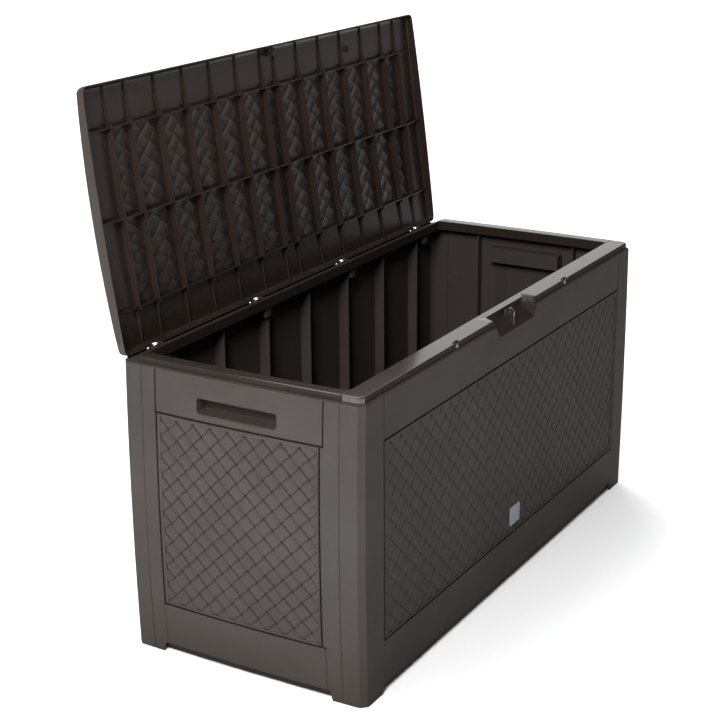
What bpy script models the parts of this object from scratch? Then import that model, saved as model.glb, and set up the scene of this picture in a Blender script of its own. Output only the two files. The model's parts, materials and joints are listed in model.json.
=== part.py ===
"""Storage bench: a moulded resin box of about 300 litres with a hinged lid that can be sat on.

Metres, +Z up.  The front faces -Y and X runs along the length.  The origin is on the ground, at the
centre of the body's footprint.  The lid is modelled shut and then turned back about its hinge axis,
past upright, to where it rests on the stop pads of the rear ledge.
"""
import math

import bmesh
import bpy
from mathutils import Matrix, Vector

# Driving dimensions of the body
LENGTH = 1.140
WIDTH = 0.484
SHOULDER_Z = 0.545
RIM_TOP_Z = 0.557
WALL_FOOT_Z = 0.019
SKIN = 0.004
CORNER_LEG = 0.011
RIM_HALF_X = 0.5635
RIM_FRONT_Y = -0.237
RIM_BACK_Y = 0.212
MOUTH_HALF_X = 0.538
MOUTH_FRONT_Y = -0.197
MOUTH_BACK_Y = 0.206
RIM_CHAMFER = 0.002
LIP = 0.004
LIP_LOW_Z = 0.537
CROWN_CORNER = 0.0050
CROWN_MIDDLE = 0.0055
CROWN_ALONG = 0.0045

# Seams, grooves and panels
SEAM_Y = 0.1986
SEAM_GAP = 0.0006
GROOVE_WIDE = 0.003
GROOVE_DEEP = 0.0018
FRONT_GROOVE_X = 0.5035
FRONT_BAND_TOP_Z = 0.465
FRONT_BAND_LOW_Z = 0.1005
END_GROOVE_Y = 0.1685
END_PANEL_GROOVE_Y = 0.1600
PANEL_MARGIN = 0.007
PANEL_DEEP = 0.0015

# Hand grips in the end walls
GRIP_WIDE = 0.160
GRIP_TALL = 0.0265
GRIP_MID_Z = 0.4925
GRIP_DEEP = 0.026
GRIP_WALL = 0.003

# Finger scoop, padlock eye and rim catches at the front
SCOOP_TOP_HALF = 0.094
SCOOP_LOW_HALF = 0.0735
SCOOP_LOW_Z = 0.523
SCOOP_HIGH_Z = 0.5445
SCOOP_BACK_Y = -0.214
EYE_HOLE = (-0.2280, 0.5505)
CATCH_X = 0.233
CATCH_WIDE = 0.014
CATCH_FRONT_Y = -0.2385
BADGE_X = 0.010
BADGE_WIDE = 0.043
BADGE_Z = (0.118, 0.156)

# Lid, measured shut
OPEN_DEG = 97.5
HINGE_Y = 0.231
HINGE_Z = 0.5442
LID_HALF = 0.567
LID_CROWN = 0.0050
LID_FRONT_Y = -0.2405
LID_BACK_Y = 0.2250
LID_EDGE_Z = 0.5465
LID_RISE = 0.0235
LID_ARCH = 0.0068
LID_SKIN = 0.0025
LID_FRONT_RADIUS = 0.011
LID_BACK_RADIUS = 0.008
RIB_THICK = 0.003
RIB_FOOT_Z = LID_EDGE_Z + 0.008
RIB_X = [0.023 + 0.084 * step for step in range(6)] + [0.500]
RIB_Y = (-0.163, -0.006, 0.151)

# Hinges
HINGE_X = (-0.480, -0.160, 0.160, 0.480)
KNUCKLE_RADIUS = 0.0060
KNUCKLE_HALF = 0.008
CHEEK_WIDE = 0.008
PIN_RADIUS = 0.0025
BORE_RADIUS = 0.0028
RUNNING_GAP = 0.0006

# Floor tray and fasteners
FLOOR_TOP_Z = 0.034
FLOOR_THICK = 0.004
TRAY_LOW_Z = 0.005
SCREW_RADIUS = 0.0020
SCREW_Z = (0.130, 0.430)
TONGUE = 0.030
TOUCH = 0.0004

HALF_L = LENGTH / 2
HALF_W = WIDTH / 2


# ---------------------------------------------------------------- scene and small helpers

def clear_scene():
    for item in list(bpy.data.objects):
        bpy.data.objects.remove(item, do_unlink=True)


def new_collection(name):
    collection = bpy.data.collections.new(name)
    bpy.context.scene.collection.children.link(collection)
    return collection


def move_to(obj, collection):
    for old in list(obj.users_collection):
        old.objects.unlink(obj)
    collection.objects.link(obj)


def box(low, high):
    """A box between two corners, as a primitive with its size applied to the mesh."""
    low, high = Vector(low), Vector(high)
    bpy.ops.mesh.primitive_cube_add(size=1.0)
    obj = bpy.context.object
    size = high - low
    stretch = Matrix.Diagonal((size.x, size.y, size.z, 1.0))
    obj.data.transform(Matrix.Translation((low + high) / 2) @ stretch)
    return obj


def cylinder_x(radius, x0, x1, y, z, sides=20):
    """A cylinder whose axis runs along X."""
    bpy.ops.mesh.primitive_cylinder_add(vertices=sides, radius=radius, depth=x1 - x0)
    obj = bpy.context.object
    turn = Matrix.Rotation(math.pi / 2, 4, "Y")
    obj.data.transform(Matrix.Translation(((x0 + x1) / 2, y, z)) @ turn)
    return obj


def prism(outlines, low, high, axis="Z"):
    """Flat outlines (the first is the border, the rest are holes) extruded along an axis.

    Along Z an outline is (x, y); along X it is (y, z); along Y it is (x, z).
    """
    curve = bpy.data.curves.new("outline", "CURVE")
    curve.dimensions = "2D"
    curve.fill_mode = "BOTH"
    curve.extrude = (high - low) / 2
    for outline in outlines:
        spline = curve.splines.new("POLY")
        spline.points.add(len(outline) - 1)
        for point, (a, b) in zip(spline.points, outline):
            point.co = (a, b, 0.0, 1.0)
        spline.use_cyclic_u = True
    shape = bpy.data.objects.new("outline", curve)
    bpy.context.scene.collection.objects.link(shape)
    mesh = bpy.data.meshes.new_from_object(shape.evaluated_get(bpy.context.evaluated_depsgraph_get()))
    bpy.data.objects.remove(shape, do_unlink=True)
    weld(mesh)
    middle = (low + high) / 2
    if axis == "X":
        mesh.transform(Matrix(((0, 0, 1, middle), (1, 0, 0, 0), (0, 1, 0, 0), (0, 0, 0, 1))))
    elif axis == "Y":
        mesh.transform(Matrix(((1, 0, 0, 0), (0, 0, -1, middle), (0, 1, 0, 0), (0, 0, 0, 1))))
    else:
        mesh.transform(Matrix.Translation((0, 0, middle)))
    obj = bpy.data.objects.new("prism", mesh)
    bpy.context.scene.collection.objects.link(obj)
    return obj


def weld(mesh):
    edit = bmesh.new()
    edit.from_mesh(mesh)
    bmesh.ops.remove_doubles(edit, verts=edit.verts, dist=1e-5)
    bmesh.ops.recalc_face_normals(edit, faces=edit.faces)
    edit.to_mesh(mesh)
    edit.free()


def combine(obj, others, operation):
    """Boolean each of the others into obj, one after another, and remove them."""
    for other in others:
        modifier = obj.modifiers.new(operation.lower(), "BOOLEAN")
        modifier.operation = operation
        modifier.solver = "EXACT"
        modifier.object = other
        bpy.context.view_layer.objects.active = obj
        bpy.ops.object.modifier_apply(modifier=modifier.name)
        bpy.data.objects.remove(other, do_unlink=True)
    return obj


def add(obj, *others):
    return combine(obj, others, "UNION")


def cut(obj, *others):
    return combine(obj, others, "DIFFERENCE")


def keep(obj, *others):
    return combine(obj, others, "INTERSECT")


def copy_of(obj):
    twin = obj.copy()
    twin.data = obj.data.copy()
    bpy.context.scene.collection.objects.link(twin)
    return twin


def material(name, colour, roughness, metallic=0.0):
    result = bpy.data.materials.new(name)
    result.use_nodes = True
    shader = result.node_tree.nodes["Principled BSDF"]
    shader.inputs["Base Color"].default_value = (*colour, 1.0)
    shader.inputs["Roughness"].default_value = roughness
    shader.inputs["Metallic"].default_value = metallic
    return result


def finish(obj, name, finish_material, collection):
    obj.name = name
    obj.data.name = name
    obj.data.materials.clear()
    obj.data.materials.append(finish_material)
    for face in obj.data.polygons:
        face.material_index = 0
    obj.data.shade_smooth()
    obj.data.set_sharp_from_angle(angle=math.radians(30))
    move_to(obj, collection)
    return obj


# ---------------------------------------------------------------- the crowned shape of the ends

def crown_at(y, z):
    """How far the ends swell outward: most at mid height on the centre line, less at the corners."""
    up = 1.0 - ((min(max(z, 0.0), SHOULDER_Z) - SHOULDER_Z / 2) / (SHOULDER_Z / 2)) ** 2
    along = 1.0 - min(abs(y) / HALF_W, 1.0) ** 2
    return CROWN_CORNER * up + CROWN_MIDDLE * up * along + CROWN_ALONG * along


def crown(obj):
    """Slice a body piece into bands and swell whatever lies near the ends of the box."""
    mesh = obj.data
    edit = bmesh.new()
    edit.from_mesh(mesh)
    reach = max(abs(v.co.x) for v in edit.verts)
    if reach > 0.54:
        levels = [SHOULDER_Z * step / 8 for step in range(1, 8)]
        cuts = [((0, 0, z), (0, 0, 1)) for z in levels]
        cuts += [((0, y, 0), (0, 1, 0)) for y in (-0.1, 0.0, 0.1)]
        cuts += [((side * 0.505, 0, 0), (1, 0, 0)) for side in (-1, 1)]
        for point, normal in cuts:
            everything = list(edit.verts) + list(edit.edges) + list(edit.faces)
            bmesh.ops.bisect_plane(edit, geom=everything, dist=1e-5, plane_co=point, plane_no=normal)
    for vert in edit.verts:
        x, y, z = vert.co
        share = min(max((abs(x) - 0.505) / 0.030, 0.0), 1.0)
        vert.co.x += math.copysign(share * crown_at(y, z), x)
    bmesh.ops.triangulate(edit, faces=[f for f in edit.faces if len(f.verts) > 3])
    edit.to_mesh(mesh)
    edit.free()
    return obj


# ---------------------------------------------------------------- body shell

def rect(half_x, y0, y1, leg):
    """A rectangle in plan with its corners cut at 45 degrees."""
    return [(-half_x + leg, y0), (half_x - leg, y0), (half_x, y0 + leg), (half_x, y1 - leg),
            (half_x - leg, y1), (-half_x + leg, y1), (-half_x, y1 - leg), (-half_x, y0 + leg)]


def ring_rows():
    """The body's section as loops: half length, front y, back y, corner leg, height, height at back."""
    x, y, low = HALF_L - SKIN, HALF_W - SKIN, SHOULDER_Z - LIP
    band_x, band_front = RIM_HALF_X - LIP, RIM_FRONT_Y + LIP
    lip_x, lip_front, lip_back = MOUTH_HALF_X + LIP, MOUTH_FRONT_Y - LIP, MOUTH_BACK_Y + 0.0035
    under, bevel_z = RIM_TOP_Z - LIP, RIM_TOP_Z - RIM_CHAMFER
    return [(HALF_L, -HALF_W, HALF_W, CORNER_LEG, 0.0, 0.0),
            (HALF_L, -HALF_W, HALF_W, CORNER_LEG, SHOULDER_Z, SHOULDER_Z),
            (RIM_HALF_X, RIM_FRONT_Y, RIM_BACK_Y, 0.0080, SHOULDER_Z, SHOULDER_Z),
            (RIM_HALF_X, RIM_FRONT_Y, RIM_BACK_Y, 0.0080, bevel_z, bevel_z),
            (RIM_HALF_X - RIM_CHAMFER, RIM_FRONT_Y + RIM_CHAMFER, RIM_BACK_Y - RIM_CHAMFER, 0.0075,
             RIM_TOP_Z, RIM_TOP_Z),
            (MOUTH_HALF_X, MOUTH_FRONT_Y, MOUTH_BACK_Y, 0.0050, RIM_TOP_Z, RIM_TOP_Z),
            (MOUTH_HALF_X, MOUTH_FRONT_Y, MOUTH_BACK_Y, 0.0050, LIP_LOW_Z, LIP_LOW_Z),
            (lip_x, lip_front, lip_back, 0.0060, LIP_LOW_Z, LIP_LOW_Z),
            (lip_x, lip_front, lip_back, 0.0060, under, low - 0.0010),
            (band_x, band_front, lip_back + 0.0010, 0.0070, under, low - 0.0005),
            (band_x, band_front, lip_back + 0.0020, 0.0070, low, low),
            (x, -y, y, CORNER_LEG - 0.0016, low, low),
            (x, -y, y, CORNER_LEG - 0.0016, 0.0, 0.0)]


def body_ring():
    """Skin, shoulder, rim band, top ledge and inner lip of all four walls, lofted as one ring."""
    verts, faces = [], []
    rows = ring_rows()
    for half_x, front, back, leg, z, z_back in rows:
        heights = [z, z, z, z, z_back, z_back, z, z]
        verts += [(px, py, pz) for (px, py), pz in zip(rect(half_x, front, back, leg), heights)]
    for row in range(len(rows)):
        here, following = row * 8, (row + 1) % len(rows) * 8
        for k in range(8):
            n = (k + 1) % 8
            faces.append((here + k, here + n, following + n))
            faces.append((here + k, following + n, following + k))
    mesh = bpy.data.meshes.new("ring")
    mesh.from_pydata(verts, [], faces)
    weld(mesh)
    obj = bpy.data.objects.new("ring", mesh)
    bpy.context.scene.collection.objects.link(obj)
    return obj


def foot_gap(along_x):
    """The gap under a wall between two corner feet, with slanted ends."""
    if along_x:
        outline = [(-0.5105, -0.01), (0.5105, -0.01), (0.5035, WALL_FOOT_Z), (-0.5035, WALL_FOOT_Z)]
        return prism([outline], -0.30, 0.30, "Y")
    outline = [(-0.1785, -0.01), (0.1785, -0.01), (0.1735, WALL_FOOT_Z), (-0.1735, WALL_FOOT_Z)]
    return prism([outline], -0.60, 0.60, "X")


def groove_boxes_long(side):
    """Grooves and the sunk weave panel of a long wall; side is -1 for the front, 1 for the back."""
    out = side * (HALF_W + 0.01)
    y0, y1 = sorted((out, side * (HALF_W - GROOVE_DEEP)))
    h0, h1 = sorted((out, side * (HALF_W - GROOVE_DEEP + 0.0002)))
    p0, p1 = sorted((out, side * (HALF_W - PANEL_DEEP)))
    half = GROOVE_WIDE / 2
    cutters = []
    for x in (-FRONT_GROOVE_X, FRONT_GROOVE_X):
        cutters.append(box((x - half, y0, -0.01), (x + half, y1, SHOULDER_Z - 0.006)))
    for z in (FRONT_BAND_TOP_Z, FRONT_BAND_LOW_Z):
        cutters.append(box((-FRONT_GROOVE_X, h0, z - half), (FRONT_GROOVE_X, h1, z + half)))
    reach = FRONT_GROOVE_X - PANEL_MARGIN
    cutters.append(box((-reach, p0, FRONT_BAND_LOW_Z + PANEL_MARGIN),
                       (reach, p1, FRONT_BAND_TOP_Z - PANEL_MARGIN)))
    return cutters


def groove_boxes_end(side):
    """Grooves and the sunk weave panel of an end wall; side is -1 for the left, 1 for the right."""
    out = side * (HALF_L + 0.01)
    x0, x1 = sorted((out, side * (HALF_L - GROOVE_DEEP)))
    h0, h1 = sorted((out, side * (HALF_L - GROOVE_DEEP + 0.0002)))
    p0, p1 = sorted((out, side * (HALF_L - PANEL_DEEP)))
    half = GROOVE_WIDE / 2
    cutters = []
    for sign in (-1, 1):
        upper = sign * END_GROOVE_Y
        middle = sign * END_PANEL_GROOVE_Y
        cutters.append(box((x0, upper - half, FRONT_BAND_TOP_Z), (x1, upper + half, SHOULDER_Z - 0.006)))
        cutters.append(box((x0, middle - half, FRONT_BAND_LOW_Z), (x1, middle + half, FRONT_BAND_TOP_Z)))
        cutters.append(box((x0, upper - half, -0.01), (x1, upper + half, FRONT_BAND_LOW_Z)))
    for z in (FRONT_BAND_TOP_Z, FRONT_BAND_LOW_Z):
        reach = END_GROOVE_Y + half - 0.0002
        cutters.append(box((h0, -reach, z - half), (h1, reach, z + half)))
    reach = END_PANEL_GROOVE_Y - PANEL_MARGIN
    cutters.append(box((p0, -reach, FRONT_BAND_LOW_Z + PANEL_MARGIN),
                       (p1, reach, FRONT_BAND_TOP_Z - PANEL_MARGIN)))
    return cutters


def flipped(obj, sign_x, sign_y):
    """The shape mirrored to another side of the box, faces kept outward."""
    obj.data.transform(Matrix.Diagonal((sign_x, sign_y, 1, 1)))
    if sign_x * sign_y < 0:
        obj.data.flip_normals()
    return obj


def corner_tongue(sign_x, sign_y):
    """A flat tongue inside the end wall, stepped in from the skin just past the seam."""
    x_skin, x_out = HALF_L - SKIN + 0.0005, HALF_L - SKIN - TOUCH
    x_in, y_in = x_out - 0.003, SEAM_Y - TONGUE
    y_seam = SEAM_Y + SEAM_GAP / 2 + 0.0002
    outline = [(x_in, y_in), (x_out, y_in), (x_out, y_seam), (x_skin, y_seam),
               (x_skin, y_seam + 0.004), (x_in, y_seam + 0.004)]
    return flipped(prism([outline], 0.060, 0.455), sign_x, sign_y)


def corner_sole(sign_x, sign_y):
    """The closed underside of a corner foot."""
    low, high = (0.5140, 0.2000, 0.0005), (HALF_L - SKIN + 0.0005, HALF_W - SKIN + 0.0005, 0.0040)
    return flipped(prism([rect_at(low, high)], low[2], high[2]), sign_x, sign_y)


def rect_at(low, high):
    """A plan rectangle whose outer corner is cut to stay inside the corner of the body."""
    x0, y0, x1, y1 = low[0], low[1], high[0], high[1]
    return [(x0, y0), (x1, y0), (x1, y1 - 0.0105), (x1 - 0.0105, y1), (x0, y1)]


def rib_outline(side, skin, band, inner, top):
    """Outline of an upright wall rib; above the shoulder it steps in behind the rim band."""
    step_z = SHOULDER_Z - LIP + 0.0008
    if top < step_z:
        step_z, band = top, skin
    points = [(skin, FLOOR_TOP_Z + 0.003), (inner, FLOOR_TOP_Z + 0.003), (inner, top),
              (band, top), (band, step_z), (skin, step_z)]
    if band == skin:
        points = points[:4]
    return [(side * across, z) for across, z in points]


def long_wall(ring, side):
    """A front (side -1) or back (side 1) wall: it wraps both corners as far as the end seams."""
    seam, inner = SEAM_Y + SEAM_GAP / 2, SEAM_Y - 0.050
    reach = MOUTH_HALF_X - 0.005 - SEAM_GAP
    region = [(-0.7, seam), (-reach, seam), (-reach, inner), (reach, inner), (reach, seam),
              (0.7, seam), (0.7, 0.4), (-0.7, 0.4)]
    wall = keep(copy_of(ring), prism([[(x, side * y) for x, y in region]], -0.1, 0.7))
    top = (RIM_TOP_Z if side < 0 else SHOULDER_Z) - LIP + 0.0005
    outline = rib_outline(side, HALF_W - SKIN + 0.0005, -RIM_FRONT_Y - 0.0006, HALF_W - 0.027, top)
    for x in (-0.45, -0.30, -0.15, 0.0, 0.15, 0.30, 0.45):
        wall = add(wall, prism([outline], x - 0.0015, x + 0.0015, "X"))
    for sign in (-1, 1):
        wall = add(wall, corner_sole(sign, side), corner_tongue(sign, side))
        for z in SCREW_Z:
            x0, x1 = sorted((sign * (HALF_L - 0.015), sign * (HALF_L - SKIN - 0.0002)))
            wall = cut(wall, cylinder_x(SCREW_RADIUS + TOUCH, x0, x1, side * (SEAM_Y - 0.015), z, 12))
    return cut(wall, foot_gap(True), foot_gap(False), *groove_boxes_long(side))


def scoop_z(y):
    """Height of the scoop's sloping floor."""
    return SCOOP_LOW_Z + (y + HALF_W - 0.0005) * (SCOOP_HIGH_Z - SCOOP_LOW_Z) / (SCOOP_BACK_Y + HALF_W - 0.0005)


def add_scoop(wall):
    """The finger scoop: a wedge sunk in the middle of the front wall, open at the top."""
    front, band, back, low = -HALF_W + 0.002, RIM_FRONT_Y + 0.0006, SCOOP_BACK_Y + 0.004, SCOOP_LOW_Z - 0.004
    top, step_z = RIM_TOP_Z - 0.0005, SHOULDER_Z - 0.0007
    section = [(front, low), (back, low), (back, top), (band, top), (band, step_z), (front, step_z)]
    block = prism([section], -SCOOP_TOP_HALF - 0.004, SCOOP_TOP_HALF + 0.004, "X")
    slope = [(-0.30, SCOOP_LOW_Z), (-HALF_W + 0.0005, SCOOP_LOW_Z), (SCOOP_BACK_Y, SCOOP_HIGH_Z),
             (SCOOP_BACK_Y, 0.60), (-0.30, 0.60)]
    wedge = prism([slope], -0.12, 0.12, "X")
    sides = [(-SCOOP_LOW_HALF, SCOOP_LOW_Z), (SCOOP_LOW_HALF, SCOOP_LOW_Z),
             (SCOOP_TOP_HALF, SHOULDER_Z), (SCOOP_TOP_HALF, 0.60),
             (-SCOOP_TOP_HALF, 0.60), (-SCOOP_TOP_HALF, SHOULDER_Z)]
    taper = prism([sides], -0.30, -0.20, "Y")
    return cut(add(wall, block), keep(wedge, taper))


def catch_slot(x):
    """The notch in the rim that a catch sits in."""
    half = CATCH_WIDE / 2 + TOUCH
    return box((x - half, CATCH_FRONT_Y - 0.002, SHOULDER_Z + 0.0007),
               (x + half, CATCH_FRONT_Y + 0.0085 + TOUCH, RIM_TOP_Z + 0.02))


def front_wall(ring):
    wall = add_scoop(long_wall(ring, -1))
    for x in (-CATCH_X, CATCH_X):
        pad = box((x - CATCH_WIDE, RIM_FRONT_Y + 0.0005, SHOULDER_Z - LIP + 0.0005),
                  (x + CATCH_WIDE, RIM_FRONT_Y + 0.0130, RIM_TOP_Z - 0.0005))
        wall = cut(add(wall, pad), catch_slot(x))
    return wall


def hinge_post(x):
    """The fixed knuckle of a hinge: a web between lip and skin with a rounded top."""
    arc = [(HINGE_Y + KNUCKLE_RADIUS * math.cos(a), HINGE_Z + KNUCKLE_RADIUS * math.sin(a))
           for a in [math.pi * step / 10 for step in range(11)]]
    outline = arc + [(HINGE_Y - KNUCKLE_RADIUS, 0.520), (HINGE_Y + KNUCKLE_RADIUS, 0.520)]
    web = prism([outline], x - KNUCKLE_HALF, x + KNUCKLE_HALF, "X")
    half = KNUCKLE_HALF - 0.0004
    foot = box((x - half, RIM_BACK_Y - 0.003, 0.518), (x + half, HALF_W - SKIN + 0.001, 0.5345))
    half = KNUCKLE_HALF - 0.0008
    drop = box((x - half, MOUTH_BACK_Y + 0.0008, 0.519), (x + half, RIM_BACK_Y - 0.0006, SHOULDER_Z - 0.003))
    return add(web, foot, drop)


def back_wall(ring):
    wall = long_wall(ring, 1)
    for x in HINGE_X:
        half = KNUCKLE_HALF + CHEEK_WIDE + 0.0052
        slot = box((x - half, HINGE_Y - 0.0105, 0.535), (x + half, HALF_W - SKIN + 0.0003, 0.60))
        wall = add(cut(wall, slot), hinge_post(x))
        wall = cut(wall, cylinder_x(BORE_RADIUS, x - 0.012, x + 0.012, HINGE_Y, HINGE_Z))
        for sign in (-1, 1):
            middle = x + sign * 0.036
            pad = box((middle - 0.009, 0.2355, SHOULDER_Z - 0.001), (middle + 0.009, HALF_W - 0.0005, 0.5484))
            wall = add(wall, pad)
    return wall


def rounded_box_outline(half_a, half_b, mid_b, radius, steps=4):
    """An upright rectangle with round corners, as (a, b) points."""
    points = []
    for quarter, (sa, sb) in enumerate(((1, 1), (-1, 1), (-1, -1), (1, -1))):
        for step in range(steps + 1):
            angle = math.pi / 2 * (quarter + step / steps)
            points.append((sa * (half_a - radius) + radius * math.cos(angle),
                           mid_b + sb * (half_b - radius) + radius * math.sin(angle)))
    return points


def end_wall(ring, side):
    """An end wall between the two seams, with a hand grip sunk in its top band."""
    seam = SEAM_Y - SEAM_GAP / 2
    x0, x1 = sorted((side * (MOUTH_HALF_X - 0.005), side * 0.70))
    wall = keep(copy_of(ring), box((x0, -seam, -0.1), (x1, seam, 0.7)))
    skin_x = side * (HALF_L - SKIN + 0.0005)
    top = RIM_TOP_Z - LIP + 0.0005
    rib = rib_outline(side, HALF_L - SKIN + 0.0005, RIM_HALF_X - 0.0006, HALF_L - 0.022, top)
    for y in (-0.115, 0.115):
        wall = add(wall, prism([rib], y - 0.0015, y + 0.0015, "Y"))
    g0, g1 = sorted((skin_x, side * (HALF_L - GRIP_DEEP - GRIP_WALL)))
    pocket = box((g0, -GRIP_WIDE / 2 - GRIP_WALL, GRIP_MID_Z - GRIP_TALL / 2 - GRIP_WALL),
                 (g1, GRIP_WIDE / 2 + GRIP_WALL, GRIP_MID_Z + GRIP_TALL / 2 + GRIP_WALL))
    c0, c1 = sorted((side * (HALF_L + 0.01), side * (HALF_L - GRIP_DEEP)))
    outline = rounded_box_outline(GRIP_WIDE / 2, GRIP_TALL / 2, GRIP_MID_Z, 0.006)
    wall = cut(add(wall, pocket), prism([outline], c0, c1, "X"))
    for y in (-SEAM_Y + 0.015, SEAM_Y - 0.015):
        for z in SCREW_Z:
            s0, s1 = sorted((side * (HALF_L - 0.0012), side * (HALF_L - 0.020)))
            wall = cut(wall, cylinder_x(SCREW_RADIUS + TOUCH, s0, s1, y, z, 12))
    return cut(wall, foot_gap(False), *groove_boxes_end(side))


def floor_panel():
    """The tray: a plate with a turned-down edge, a grid of ribs and pads that reach the ground."""
    half_x, half_y = HALF_L - SKIN - 0.0045, HALF_W - SKIN - 0.001
    solid = prism([rect(half_x, -half_y, half_y, 0.010)], TRAY_LOW_Z, FLOOR_TOP_Z)
    hollow = prism([rect(half_x - 0.003, -half_y + 0.003, half_y - 0.003, 0.009)],
                   -0.05, FLOOR_TOP_Z - FLOOR_THICK)
    tray = cut(solid, hollow)
    for y in (-0.12, 0.12):
        tray = add(tray, box((-half_x + 0.002, y - 0.0015, TRAY_LOW_Z + 0.0010),
                             (half_x - 0.002, y + 0.0015, 0.0320)))
    for x in (-0.38, -0.19, 0.19, 0.38):
        tray = add(tray, box((x - 0.0015, -half_y + 0.002, TRAY_LOW_Z + 0.0015),
                             (x + 0.0015, half_y - 0.002, 0.0315)))
    for x in (-0.285, 0.0, 0.285):
        tray = add(tray, box((x - 0.030, -0.030, 0.0), (x + 0.030, 0.030, 0.0310)))
    return tray


# ---------------------------------------------------------------- lid

def arch_z(y):
    """Height of the lid's outer surface at a distance across the box."""
    middle = (LID_FRONT_Y + LID_BACK_Y) / 2
    half = (LID_BACK_Y - LID_FRONT_Y) / 2
    return LID_EDGE_Z + LID_RISE - LID_ARCH * ((y - middle) / half) ** 2


def lid_profile(inset):
    """The lid's section across the box as (y, z): two skirts with rounded shoulders and an arch."""
    front, back = LID_FRONT_Y + inset, LID_BACK_Y - inset
    fr, br = LID_FRONT_RADIUS - inset, LID_BACK_RADIUS - inset
    foot = LID_EDGE_Z - (0.02 if inset else 0.0)
    top_front = arch_z(front + fr) - inset
    top_back = arch_z(back - br) - inset
    quarter = [math.pi / 2 * step / 5 for step in range(6)]
    points = [(front, foot)]
    points += [(front + fr - fr * math.cos(a), top_front - fr + fr * math.sin(a)) for a in quarter]
    span = (back - br) - (front + fr)
    inner = [front + fr + span * step / 12 for step in range(1, 12)]
    points += [(y, arch_z(y) - inset) for y in inner]
    points += [(back - br + br * math.sin(a), top_back - br + br * math.cos(a)) for a in quarter]
    return points + [(back, foot)]


def lid_plan(inset):
    """The lid seen from above: rounded corners and ends that bow outward a little."""
    radius = 0.012 - inset
    front, back, half = LID_FRONT_Y + inset, LID_BACK_Y - inset, LID_HALF - inset
    middle, reach = (front + back) / 2, (back - front) / 2
    right = []
    for step in range(5):
        angle = math.pi / 2 * step / 4
        right.append((half - radius + radius * math.sin(angle), front + radius - radius * math.cos(angle)))
    for step in range(1, 8):
        y = front + radius + (back - front - 2 * radius) * step / 8
        right.append((half + LID_CROWN * (1 - ((y - middle) / reach) ** 2), y))
    for step in range(5):
        angle = math.pi / 2 * step / 4
        right.append((half - radius + radius * math.cos(angle), back - radius + radius * math.sin(angle)))
    return right + [(-x, y) for x, y in reversed(right)]


def lid_block(inset):
    low, high = LID_EDGE_Z - 0.03, LID_EDGE_Z + 0.08
    return keep(prism([lid_profile(inset)], -0.60, 0.60, "X"), prism([lid_plan(inset)], low, high))


def cross_rib(x):
    """A rib that runs front to back under the lid and follows its arch."""
    front, back, count = LID_FRONT_Y + 0.0120, LID_BACK_Y - 0.0010, 12
    across = [front + (back - front) * step / count for step in range(count)]
    outline = [(front - 0.0105, RIB_FOOT_Z), (back, RIB_FOOT_Z), (back, arch_z(back) - 0.0080)]
    outline += [(y, arch_z(y) - LID_SKIN / 2) for y in reversed(across)]
    outline.append((front - 0.0105, RIB_FOOT_Z + 0.0010))
    return prism([outline], x - RIB_THICK / 2, x + RIB_THICK / 2, "X")


def long_rib(y):
    """A rib along the lid, its foot a little shorter than those of the cross ribs."""
    top = arch_z(y) - LID_SKIN / 2
    reach = LID_HALF - 0.0012
    return box((-reach, y - RIB_THICK / 2, RIB_FOOT_Z + 0.0010), (reach, y + RIB_THICK / 2, top))


def rim_clearance():
    """The space the rim takes up inside the closed lid; the ribs stop short of it."""
    reach = LID_HALF + 0.02
    outer = [(-reach, -0.30), (reach, -0.30), (reach, 0.30), (-reach, 0.30)]
    inner = [(-0.531, -0.1895), (0.531, -0.1895), (0.531, 0.1990), (-0.531, 0.1990)]
    return prism([outer, inner], 0.50, RIM_TOP_Z + 0.0012)


def lid_cheek(x):
    """One of the lid's two knuckles at a hinge, with the arm that carries it."""
    arc = [(HINGE_Y + KNUCKLE_RADIUS * math.cos(a), HINGE_Z + KNUCKLE_RADIUS * math.sin(a))
           for a in [-math.pi * 0.62 + math.pi * 1.20 * step / 10 for step in range(11)]]
    outline = arc + [(LID_BACK_Y - 0.001, LID_EDGE_Z + 0.008), (LID_BACK_Y - 0.001, LID_EDGE_Z + 0.0005)]
    return prism([outline], x - CHEEK_WIDE / 2, x + CHEEK_WIDE / 2, "X")


def lock_tab():
    """The lid's own padlock tab, which hangs beside the eye in the scoop when shut."""
    y, z = EYE_HOLE
    outline = [(-0.2370, 0.5568), (-0.2370, z - 0.0020), (-0.2345, z - 0.0060), (y + 0.0030, z - 0.0060),
               (-0.2190, z - 0.0010), (-0.2190, 0.5626), (-0.2300, 0.5616)]
    return cut(prism([outline], 0.0035, 0.0075, "X"), cylinder_x(0.0034, 0.0, 0.011, y, z, 16))


def build_lid():
    """The whole lid, made shut with the hinge axis as its origin, then turned open."""
    grid = cut(long_rib(RIB_Y[0]), rim_clearance())
    for y in RIB_Y[1:]:
        grid = add(grid, cut(long_rib(y), rim_clearance()))
    for distance in RIB_X:
        for x in (-distance, distance):
            grid = add(grid, cut(cross_rib(x), rim_clearance()))
    lid = add(cut(lid_block(0.0), lid_block(LID_SKIN)), grid, lock_tab())
    for x in HINGE_X:
        half = KNUCKLE_HALF + RUNNING_GAP
        lid = cut(lid, box((x - half, LID_BACK_Y - 0.020, 0.50),
                           (x + half, LID_BACK_Y + 0.03, LID_EDGE_Z + 0.0105)))
        for sign in (-1, 1):
            middle = x + sign * (KNUCKLE_HALF + RUNNING_GAP + CHEEK_WIDE / 2)
            bore = cylinder_x(BORE_RADIUS, middle - 0.008, middle + 0.008, HINGE_Y, HINGE_Z)
            lid = add(lid, cut(lid_cheek(middle), bore))
    lid.data.transform(Matrix.Translation((0, -HINGE_Y, -HINGE_Z)))
    lid.location = (0, HINGE_Y, HINGE_Z)
    lid.rotation_euler = (-math.radians(OPEN_DEG), 0, 0)
    return lid


# ---------------------------------------------------------------- small pieces

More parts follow.
